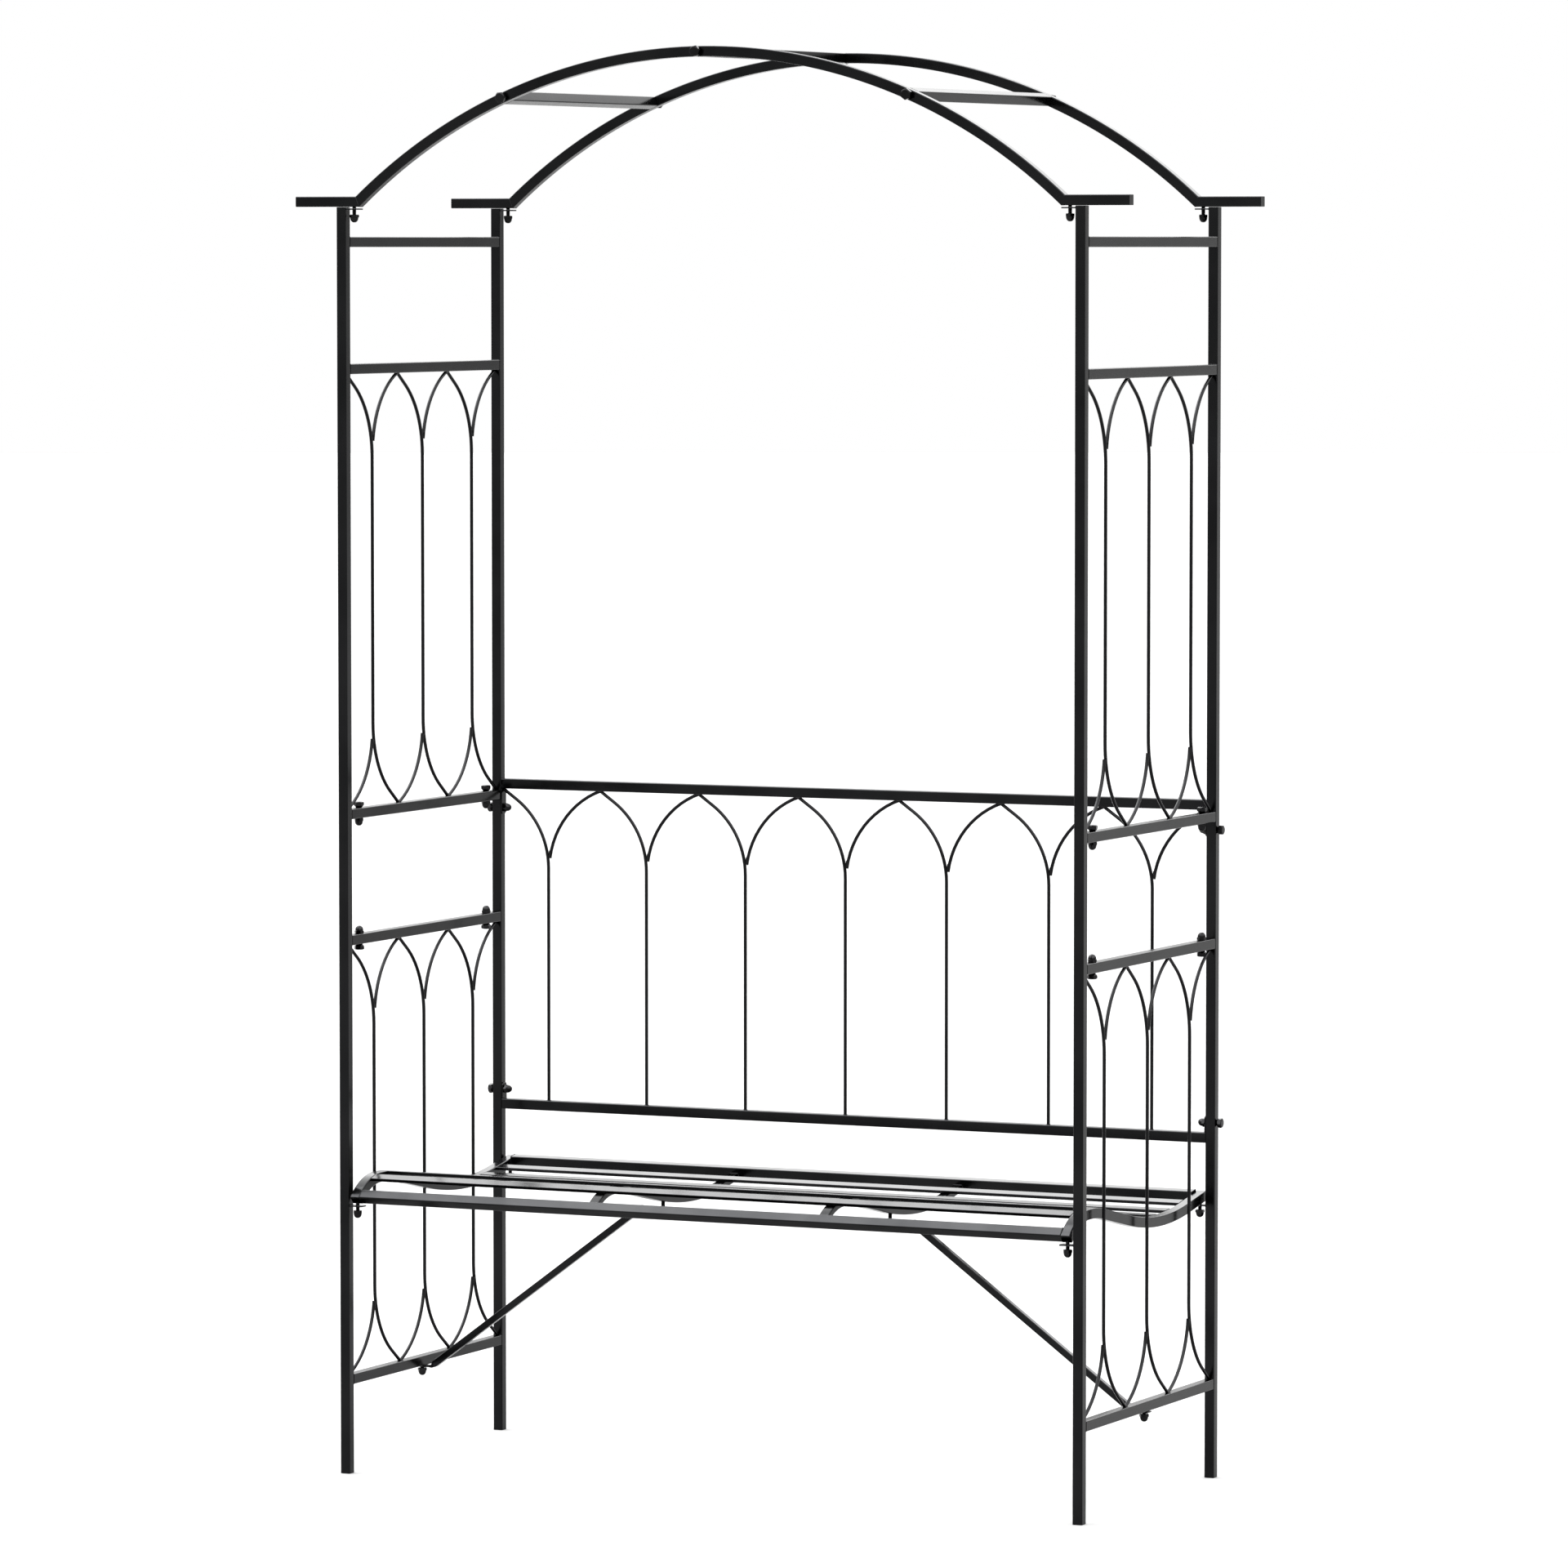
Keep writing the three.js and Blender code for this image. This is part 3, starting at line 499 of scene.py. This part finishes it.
def thread(bm, place, low, high):
    """Threaded shank between two heights."""
    sides = 24
    steps = max(4, round((high - low) / THREAD_PITCH * 6))
    rings = []
    for i in range(steps + 1):
        z = low + (high - low) * i / steps
        points = []
        for k, angle in enumerate(full_turn(sides)):
            turn = (z / THREAD_PITCH - k / sides) % 1.0
            r = SHANK_RADIUS - THREAD_DEPTH * (1 - abs(2 * turn - 1))
            points.append(place @ Vector((r * math.cos(angle), r * math.sin(angle), z)))
        rings.append(points)
    loft(bm, rings)


def turned():
    """A turn of its own for each fastener, as tightening leaves it."""
    return Matrix.Rotation(RANDOM.uniform(0, math.pi / 3), 4, "Z")


def capped_bolt(bm, place, grip, flats=HEAD_FLATS):
    """Head above z = 0 and a cap nut a grip length below."""
    bolt_head(bm, place @ turned(), flats)
    thread(bm, place, -grip - SHANK_PAST, SHANK_PAST)
    cap_nut(bm, place @ Matrix.Translation((0, 0, -grip)) @ turned())


def capped_stud(bm, place, height):
    """Stud with its cap nut's top at z = 0."""
    thread(bm, place, -SHANK_PAST, height)
    cap_nut(bm, place @ turned())


def at(x, y, z):
    return Matrix.Translation((x, y, z))


# ---- Posts -------------------------------------------------------------------------------


def post(end, side):
    sx, sy = SIDES[side], ENDS[end]
    x, y = sx * POST_X, sy * POST_Y
    bm = bmesh.new()
    straight_tube(bm, Vector((x, y, 0)), Vector((x, y, POST_TOP)), X_AXIS, Y_AXIS)
    plug = [(Vector((x, y, z)), X_AXIS, Y_AXIS) for z in PLUG_SPAN]
    plug_size = TUBE - 2 * WALL - PLUG_FIT
    tube(bm, plug, plug_size, plug_size, open_ends=False)
    for tab_z in (ARCH_TAB_Z, SEAT_TAB_Z[end]):
        near = x - sx * (HALF - TAB_ROOT)
        far = x - sx * (HALF + TAB_REACH)
        low = Vector((min(near, far), y - HALF, tab_z - TAB / 2))
        high = Vector((max(near, far), y + HALF, tab_z + TAB / 2))
        plate(bm, low, high, (sx * STUD_X, y), TAB_CORNER)
        face = x - sx * HALF
        for edge in (-TAB / 2, TAB / 2):
            start = Vector((face, y - HALF + 1 * MM, tab_z + edge))
            bead(bm, [start, start + Y_AXIS * (TUBE - 2 * MM)], TAB_BEAD)
    for level in ("mid_upper", "mid_lower"):
        z = SIDE_RAIL_Z[level]
        start = Vector((x, y - sy * (HALF - TONGUE_ROOT), z))
        stop = Vector((x, y - sy * (HALF + TONGUE_LENGTH), z))
        straight_tube(bm, start, stop, X_AXIS, Z_AXIS, width=TONGUE, height=TONGUE)
    add_piece(f"post_{end}_{side}_coated", bm, FRAME_COAT, f"post_{end}_{side}")


# ---- Side frames -------------------------------------------------------------------------


def side_rail(level, side):
    x, z = SIDES[side] * POST_X, SIDE_RAIL_Z[level]
    reach = POST_Y - HALF - GAP
    bm = bmesh.new()
    straight_tube(bm, Vector((x, -reach, z)), Vector((x, reach, z)), X_AXIS, Z_AXIS)
    if not level.startswith("mid"):
        for sy in (-1, 1):
            square_bead(bm, Vector((x, sy * (reach + GAP), z)), X_AXIS, Z_AXIS, TUBE, TUBE)
    add_piece(f"side_rail_{level}_{side}_coated", bm, FRAME_COAT, f"side_rail_{level}_{side}")


def side_rail_bolts(level, side):
    bm = bmesh.new()
    up = level == "mid_upper"
    for sy in (-1, 1):
        place = at(SIDES[side] * POST_X, sy * RAIL_BOLT_Y, SIDE_RAIL_Z[level])
        if not up:
            place = place @ Matrix.Rotation(math.pi, 4, "X")
        capped_bolt(bm, place @ at(0, 0, HALF), TUBE)
    add_piece(f"side_rail_bolts_{level}_{side}", bm, HARDWARE_COAT)


def long_top(offset, height):
    """Points (u, v) of a rod's top: a bend and a straight tip that sinks into the rail."""
    across = BEND_RADIUS * (1 - math.cos(BEND_ANGLE))
    rise = BEND_RADIUS * math.sin(BEND_ANGLE)
    slope = 1 / math.tan(BEND_ANGLE)
    start = height - rise - (offset - across) * slope
    angles = [BEND_ANGLE * i / 14 for i in range(15)]
    bend = [(-BEND_RADIUS * (1 - math.cos(a)), start + BEND_RADIUS * math.sin(a)) for a in angles]
    return bend + [(-offset - SINK / slope, height + SINK)]


def short_arc(offset, height, drop):
    """Points of the arc from its cut end beside the rod to its tip in the rail."""
    across = offset - ARC_STEP
    span = across * math.cos(ARC_LEAN) - drop * math.sin(ARC_LEAN)
    radius = (across**2 + drop**2) / (2 * span)
    tip = math.acos(math.cos(ARC_LEAN) - across / radius) + SINK / radius
    points = []
    for i in range(13):
        angle = ARC_LEAN + i / 12 * (tip - ARC_LEAN)
        u = ARC_STEP + radius * (math.cos(ARC_LEAN) - math.cos(angle))
        points.append((u, height - drop + radius * (math.sin(angle) - math.sin(ARC_LEAN))))
    return points


def rod_tree(bm, foot_place, pitch, height, shift, drop, both_ends):
    """One upright rod with its bent ends and short arcs, welded to each other."""
    x, y, z = foot_place
    top = long_top(pitch / 2 + shift, height)
    arc = short_arc(pitch / 2 - shift, height, drop)

    def to_point(u, v):
        return Vector((x, y + u, z + v))

    def turned_over(points):
        return [(-u, height - v) for u, v in points]

    foot = turned_over(top)[::-1] if both_ends else [(0, -SINK)]
    rod(bm, [to_point(u, v) for u, v in foot + top])
    arcs = [arc, turned_over(arc)] if both_ends else [arc]
    for points in arcs:
        rod(bm, [to_point(u, v) for u, v in points])
        seam = [(u * 0.5, v) for u, v in points[:2]]
        for edge in (-1, 1):
            lift = X_AXIS * edge * SEAM_LIFT
            bead(bm, [to_point(u, v) + lift for u, v in seam], TAB_BEAD)
    tips = [(top[-1][0], height), (arc[-1][0], height)]
    if both_ends:
        tips += [(-top[-1][0], 0), (-arc[-1][0], 0)]
    else:
        tips += [(0, 0)]
    for u, v in tips:
        for edge in (-1, 1):
            lift = X_AXIS * edge * TIP_LIFT
            bead(bm, [to_point(u - TIP_WELD, v) + lift, to_point(u + TIP_WELD, v) + lift], TIP_BEAD)


def side_lattice(panel, side):
    upper, lower = ("upper", "mid_upper") if panel == "upper" else ("mid_lower", "bottom")
    base = SIDE_RAIL_Z[lower] + HALF
    height = SIDE_RAIL_Z[upper] - HALF - base
    span = 2 * (POST_Y - HALF)
    pitch = span / SIDE_CELLS
    x = SIDES[side] * POST_X
    bm = bmesh.new()
    for i in range(SIDE_CELLS):
        middle = (i + 0.5) * pitch - span / 2
        rod_tree(bm, (x, middle, base), pitch, height, 0, ARC_DROP["side"], True)
    name = f"side_lattice_{panel}_{side}"
    add_piece(f"{name}_coated", bm, FRAME_COAT, name)


# ---- Backrest ----------------------------------------------------------------------------


def backrest_rail(level):
    z = BACK_RAIL_Z[level]
    reach = POST_X - HALF - GAP
    bolt_z = BACK_BOLT_Z[level]
    bm = bmesh.new()
    straight_tube(bm, Vector((-reach, POST_Y, z)), Vector((reach, POST_Y, z)), Y_AXIS, Z_AXIS)
    beyond = bolt_z + math.copysign(EAR_OVERHANG, bolt_z - z)
    for sx in (-1, 1):
        ear = bmesh.new()
        low = Vector((min(z, beyond), -EAR_WIDTH / 2, -EAR))
        high = Vector((max(z, beyond), EAR_WIDTH / 2, 0))
        plate(ear, low, high, (bolt_z, 0), EAR_CORNER)
        turn = Matrix(((0, 0, sx, sx * reach), (0, 1, 0, POST_Y), (1, 0, 0, 0), (0, 0, 0, 1)))
        bmesh.ops.transform(ear, matrix=turn, verts=ear.verts)
        mesh = bpy.data.meshes.new("ear")
        ear.to_mesh(mesh)
        ear.free()
        bm.from_mesh(mesh)
        bpy.data.meshes.remove(mesh)
    add_piece(f"backrest_rail_{level}_coated", bm, FRAME_COAT, f"backrest_rail_{level}")


def backrest_lattice():
    base = BACK_RAIL_Z["bottom"] + HALF
    height = BACK_RAIL_Z["top"] - HALF - base
    span = 2 * (POST_X - HALF)
    pitch = span / BACK_CELLS
    bm = bmesh.new()
    for i in range(BACK_CELLS):
        middle = (i + 0.5) * pitch - span / 2 + BACK_ROD_SHIFT
        rod_tree(bm, (0, middle, base), pitch, height, BACK_ROD_SHIFT, ARC_DROP["back"], False)
    quarter = Matrix.Translation((0, POST_Y, 0)) @ Matrix.Rotation(-math.pi / 2, 4, "Z")
    bmesh.ops.transform(bm, matrix=quarter, verts=bm.verts)
    add_piece("backrest_lattice_coated", bm, FRAME_COAT, "backrest_lattice")


def backrest_bolt(level, side):
    sx = SIDES[side]
    place = at(sx * (POST_X + HALF + GAP), POST_Y, BACK_BOLT_Z[level])
    place = place @ Matrix.Rotation(sx * math.pi / 2, 4, "Y")
    bm = bmesh.new()
    capped_bolt(bm, place, TUBE + EAR + 3 * GAP)
    name = f"backrest_bolt_{level}_{side}"
    add_piece(f"{name}_fine", bm, HARDWARE_COAT, name)


# ---- Arches ------------------------------------------------------------------------------

RISE = ARCH_CROWN_Z - ARCH_SPRING_Z
ARCH_RADIUS = (ARCH_BEND_X**2 + RISE**2) / (2 * RISE)
ARCH_CENTER_Z = ARCH_CROWN_Z - ARCH_RADIUS


def arch(end):
    """Beam of two level wings mitred to one rolled curve."""
    y = ENDS[end] * POST_Y
    reach = math.asin(ARCH_BEND_X / ARCH_RADIUS)
    steps = 72

    def upright(x, z, lean, stretch=1.0):
        up = Vector((math.sin(lean), 0, math.cos(lean))) * stretch
        return Vector((x, y, z)), Y_AXIS, up

    mitre = 1 / math.cos(reach / 2)
    stations = [upright(-ARCH_TIP_X, ARCH_SPRING_Z, 0)]
    stations.append(upright(-ARCH_BEND_X, ARCH_SPRING_Z, -reach / 2, mitre))
    for i in range(1, steps):
        lean = reach * (2 * i / steps - 1)
        x = ARCH_RADIUS * math.sin(lean)
        stations.append(upright(x, ARCH_CENTER_Z + ARCH_RADIUS * math.cos(lean), lean))
    stations.append(upright(ARCH_BEND_X, ARCH_SPRING_Z, reach / 2, mitre))
    stations.append(upright(ARCH_TIP_X, ARCH_SPRING_Z, 0))
    bm = bmesh.new()
    tube(bm, stations, open_ends=False)
    mitre_weld = TUBE - 0.7 * MM
    for place, across, up in (stations[1], stations[-2]):
        square_bead(bm, place, across, up, mitre_weld, mitre_weld)
    add_piece(f"arch_{end}_coated", bm, FRAME_COAT, f"arch_{end}")


def crossbar(name):
    x = CROSSBAR_X[name]
    lean = math.asin(x / ARCH_RADIUS)
    z = ARCH_CENTER_Z + ARCH_RADIUS * math.cos(lean)
    across = Vector((math.cos(lean), 0, -math.sin(lean)))
    up = Vector((math.sin(lean), 0, math.cos(lean)))
    reach = POST_Y - HALF - GAP
    bm = bmesh.new()
    straight_tube(bm, Vector((x, -reach, z)), Vector((x, reach, z)), across, up)
    add_piece(f"crossbar_{name}_coated", bm, FRAME_COAT, f"crossbar_{name}")
    bm = bmesh.new()
    for sy in (-1, 1):
        place = at(x, sy * (POST_Y + HALF), z) @ Matrix.Rotation(-sy * math.pi / 2, 4, "X")
        place = place @ at(0, 0, GAP)
        bolt_head(bm, place @ turned(), CROSSBAR_HEAD_FLATS)
        thread(bm, place, -TUBE - CROSSBAR_SHANK, SHANK_PAST)
    add_piece(f"crossbar_bolts_{name}", bm, HARDWARE_COAT)


# ---- Seat --------------------------------------------------------------------------------


def seat_profile():
    """Stations (y, z, angle) of the side rails' centreline, from front to rear.

    A stretch is a bend of some radius, angle and number of steps, or a straight length.
    """
    angle = SEAT_FRONT_ANGLE
    y = SEAT_CREST[0] - SEAT_CREST_RADIUS * math.sin(angle)
    z = SEAT_CREST[1] - SEAT_CREST_RADIUS * (1 - math.cos(angle))
    stations = [(y, z, angle)]
    stretches = (
        (SEAT_CREST_RADIUS, -SEAT_FRONT_ANGLE, 18),
        (SEAT_CREST_LENGTH, 0, 1),
        (SEAT_FALL_RADIUS, -SEAT_SLOPE, 6),
        (SEAT_SLOPE_LENGTH, 0, 1),
        (SEAT_DIP_RADIUS, SEAT_SLOPE + SEAT_REAR_ANGLE, 16),
        (SEAT_REAR_LENGTH, 0, 1),
    )
    for size, turn, steps in stretches:
        for _ in range(steps):
            part = turn / steps
            chord = 2 * size * math.sin(abs(part) / 2) if turn else size
            angle += part / 2
            y += chord * math.cos(angle)
            z += chord * math.sin(angle)
            angle += part / 2
            stations.append((y, z, angle))
    return stations


PROFILE = seat_profile()


def beside(station, across=0.0, along=0.0):
    """Point (y, z) off a station, across and along the profile."""
    y, z, angle = station
    y += along * math.cos(angle) - across * math.sin(angle)
    return y, z + along * math.sin(angle) + across * math.cos(angle)


def at_y(y, stations):
    for a, b in zip(stations, stations[1:]):
        if b[0] >= y:
            part = (y - a[0]) / (b[0] - a[0])
            return tuple(p + (q - p) * part for p, q in zip(a, b))
    return stations[-1]


def profile_station(station, x, rise=0.0):
    y, z = beside(station, rise)
    up = Vector((0, -math.sin(station[2]), math.cos(station[2])))
    return Vector((x, y, z)), X_AXIS, up


def seat_side_rail(side):
    bm = bmesh.new()
    x = SIDES[side] * SEAT_RAIL_X
    tube(bm, [profile_station(station, x) for station in PROFILE], open_ends=False)
    add_piece(f"seat_side_rail_{side}_coated", bm, FRAME_COAT, f"seat_side_rail_{side}")


def seat_support(side):
    """Flatter tube under the slats, cut to the front rail's face and butting the rear rail."""
    x = SIDES[side] * SUPPORT_X
    rise = SUPPORT_HEIGHT / 2 - HALF
    first = PROFILE[0]
    cut = Vector((x, *beside(first, 0, TUBE + GAP)))
    normal = Vector((0, math.cos(first[2]), math.sin(first[2])))
    begin = next(s for s in PROFILE if (Vector((x, s[0], s[1])) - cut).dot(normal) > 1 * MM)
    place, across, up = profile_station(begin, x, rise)
    forward = Vector((0, math.cos(begin[2]), math.sin(begin[2])))
    slip = (place - cut).dot(normal) / forward.dot(normal)
    lean = up - forward * (up.dot(normal) / forward.dot(normal))
    stations = [(place - forward * slip, across, lean)]
    rear_y = PROFILE[-1][0] - (REAR_RAIL_SETBACK + HALF + GAP) * math.cos(PROFILE[-1][2])
    stations += [profile_station(s, x, rise) for s in PROFILE if begin[0] <= s[0] < rear_y]
    stations.append(profile_station(at_y(rear_y, PROFILE), x, rise))
    bm = bmesh.new()
    tube(bm, stations, TUBE, SUPPORT_HEIGHT)
    for place, across, up in (stations[0], stations[-1]):
        square_bead(bm, place, across, up, TUBE, SUPPORT_HEIGHT, SUPPORT_BEAD)
    add_piece(f"seat_support_{side}_coated", bm, FRAME_COAT, f"seat_support_{side}")


def seat_cross_rail(name, station, rise, along):
    y, z = beside(station, rise, along)
    angle = station[2]
    up = Vector((0, -math.sin(angle), math.cos(angle)))
    across = Vector((0, math.cos(angle), math.sin(angle)))
    reach = SEAT_RAIL_X - HALF - GAP
    bm = bmesh.new()
    straight_tube(bm, Vector((-reach, y, z)), Vector((reach, y, z)), across, up)
    for sx in (-1, 1):
        square_bead(bm, Vector((sx * (reach + GAP), y, z)), across, up, TUBE, TUBE)
    add_piece(f"{name}_coated", bm, FRAME_COAT, name)


def seat_slats():
    """The flat bars stay as modelled, with eased edges and a weld at each end."""
    numbers = range(1, SLAT_COUNT + 1)
    for number in numbers:
        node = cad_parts[f"seat_slat_{number}"]
        node.data.materials.clear()
        node.data.materials.append(FRAME_COAT)
        node.modifiers.new("joined", "WELD").merge_threshold = 0.01 * MM
        edges = node.modifiers.new("eased", "BEVEL")
        edges.width = SLAT_EDGE
        edges.segments = 3
        edges.harden_normals = False
    bm = bmesh.new()
    for number in numbers:
        low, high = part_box(f"seat_slat_{number}")
        middle = (low + high) / 2
        lean = at_y(middle.y, PROFILE)[2]
        along = Vector((0, math.cos(lean), math.sin(lean))) * SLAT_WELD
        under = Vector((0, math.sin(lean), -math.cos(lean))) * SLAT_WELD_DROP
        for x in (low.x - GAP, high.x + GAP):
            place = Vector((x, middle.y, middle.z)) + under
            bead(bm, [place - along, place + along], SLAT_BEAD)
    add_piece("slat_welds", bm, FRAME_COAT)


# ---- Braces ------------------------------------------------------------------------------


def brace(side):
    """Square tube whose ends are pressed flat and bent level."""
    sx = SIDES[side]
    low_z = SIDE_RAIL_Z["bottom"] - HALF - GAP - BRACE_TAB / 2
    run = Vector((BRACE_HEAD[0] - BRACE_FOOT[0], 0, BRACE_HEAD[1] - BRACE_FOOT[1]))
    way = run.normalized()
    foot = Vector((BRACE_FOOT[0], 0, BRACE_FOOT[1]))
    head = Vector((BRACE_HEAD[0], 0, BRACE_HEAD[1]))
    slant_up = Vector((-way.z, 0, way.x)) * -1
    bend_up = (Z_AXIS + slant_up).normalized()
    bend_out, bend_rise = BRACE_BEND
    low_bend = Vector((BRACE_FOOT[0] + bend_out, 0, low_z + bend_rise))
    high_bend = Vector((BRACE_HEAD[0] - bend_out, 0, BRACE_HIGH_TAB_Z - bend_rise))
    pressed = (BRACE_TAB_WIDTH, BRACE_TAB)
    square = (BRACE, BRACE)
    sections = [
        (Vector((BRACE_LOW_END_X, 0, low_z)), Z_AXIS, *pressed),
        (Vector((BRACE_FOOT[0] + BRACE_FLAT, 0, low_z)), Z_AXIS, *pressed),
        (low_bend, bend_up, *BRACE_CLOSING),
        (foot + way * BRACE_SQUARE, slant_up, *square),
        (head - way * BRACE_SQUARE, slant_up, *square),
        (high_bend, bend_up, *BRACE_CLOSING),
        (Vector((BRACE_HEAD[0] - BRACE_FLAT, 0, BRACE_HIGH_TAB_Z)), Z_AXIS, *pressed),
        (Vector((BRACE_HIGH_END_X, 0, BRACE_HIGH_TAB_Z)), Z_AXIS, *pressed),
    ]
    rings = []
    for place, up, width, height in sections:
        corner = min(BRACE_CORNER, height * 0.45)
        points = ring((place, Y_AXIS, up), rounded(width, height, corner))
        rings.append([Vector((sx * p.x, p.y + BRACE_Y, p.z)) for p in points])
    bm = bmesh.new()
    loft(bm, rings)
    add_piece(f"brace_{side}_coated", bm, FRAME_COAT, f"brace_{side}")


# ---- Studs -------------------------------------------------------------------------------


def stud(name, x, y, nut_z, top_z):
    bm = bmesh.new()
    capped_stud(bm, at(x, y, nut_z), top_z - nut_z)
    add_piece(f"{name}_fine", bm, HARDWARE_COAT, name)


def studs(side):
    sx = SIDES[side]
    for end, sy in ENDS.items():
        stud(f"arch_stud_{end}_{side}", sx * STUD_X, sy * POST_Y, ARCH_NUT_Z, ARCH_SPRING_Z)
        nut_z = SEAT_TAB_Z[end] - SEAT_NUT_DROP
        top_z = SEAT_TAB_Z[end] + HALF + 2 * MM
        stud(f"seat_stud_{end}_{side}", sx * SEAT_RAIL_X, sy * POST_Y, nut_z, top_z)
    for level, x in (("lower", POST_X), ("upper", SUPPORT_X)):
        name = f"brace_stud_{level}_{side}"
        low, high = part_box(name)
        stud(name, sx * x, BRACE_Y, low.z + NUT_HEIGHT + NUT_DOME, high.z)


# ---- Camera, floor and light -------------------------------------------------------------


def place_in_scene(name, data):
    thing = bpy.data.objects.new(name, data)
    bpy.context.scene.collection.objects.link(thing)
    return thing


def add_camera():
    camera = place_in_scene("camera", bpy.data.cameras.new("camera"))
    camera.data.sensor_width = 36
    camera.data.lens = CAMERA_LENS
    camera.location = CAMERA_PLACE
    camera.rotation_euler = (math.pi / 2 - CAMERA_DOWN, 0, CAMERA_TURN)
    bpy.context.scene.camera = camera


def add_floor():
    bm = bmesh.new()
    bmesh.ops.create_circle(bm, cap_ends=True, segments=96, radius=FLOOR_RADIUS)
    mesh = bpy.data.meshes.new("floor")
    bm.to_mesh(mesh)
    bm.free()
    paper = bpy.data.materials.new("pale_floor")
    paper.use_nodes = True
    shader = paper.node_tree.nodes["Principled BSDF"]
    shader.inputs["Base Color"].default_value = FLOOR_TONE
    shader.inputs["Roughness"].default_value = 0.9
    mesh.materials.append(paper)
    place_in_scene("floor", mesh)


def add_sky():
    """White surroundings that brighten with height."""
    world = bpy.data.worlds.new("studio")
    bpy.context.scene.world = world
    world.use_nodes = True
    tree = world.node_tree
    background = tree.nodes["Background"]
    background.inputs["Color"].default_value = (1, 1, 1, 1)
    direction = tree.nodes.new("ShaderNodeTexCoord").outputs["Generated"]
    height = tree.nodes.new("ShaderNodeSeparateXYZ")
    tree.links.new(direction, height.inputs[0])
    low, high = SKY_STRENGTH
    glow = add_node(tree, "ShaderNodeMapRange", To_Min=low, To_Max=high)
    glow.inputs["From Min"].default_value = SKY_RISE[0]
    glow.inputs["From Max"].default_value = SKY_RISE[1]
    tree.links.new(height.outputs["Z"], glow.inputs["Value"])
    tree.links.new(glow.outputs["Result"], background.inputs["Strength"])


def add_lights():
    light = bpy.data.lights.new("overhead", "AREA")
    light.size = SOFTBOX_SIZE
    light.energy = SOFTBOX_POWER
    lamp = place_in_scene("overhead", light)
    lamp.location = SOFTBOX_PLACE
    lamp.rotation_euler = (Z_AXIS - Vector(SOFTBOX_PLACE)).to_track_quat("-Z", "Y").to_euler()
    sun = bpy.data.lights.new("sky", "SUN")
    sun.energy = 0.4
    sun.angle = math.radians(70)
    place_in_scene("sky", sun).rotation_euler = (math.radians(12), math.radians(14), 0)


# ---- Assembly ----------------------------------------------------------------------------

bpy.context.scene.view_settings.view_transform = "Standard"
add_camera()
add_floor()
add_sky()
add_lights()
for end in ENDS:
    arch(end)
    for side in SIDES:
        post(end, side)
for side in SIDES:
    for level in SIDE_RAIL_Z:
        side_rail(level, side)
        if level.startswith("mid"):
            side_rail_bolts(level, side)
    for panel in ("upper", "lower"):
        side_lattice(panel, side)
    for level in BACK_RAIL_Z:
        backrest_bolt(level, side)
    seat_side_rail(side)
    seat_support(side)
    brace(side)
    studs(side)
for name in CROSSBAR_X:
    crossbar(name)
for level in BACK_RAIL_Z:
    backrest_rail(level)
backrest_lattice()
seat_cross_rail("seat_rail_front", PROFILE[0], 0, HALF)
seat_cross_rail("seat_rail_rear", PROFILE[-1], REAR_RAIL_RISE, -REAR_RAIL_SETBACK)
seat_slats()
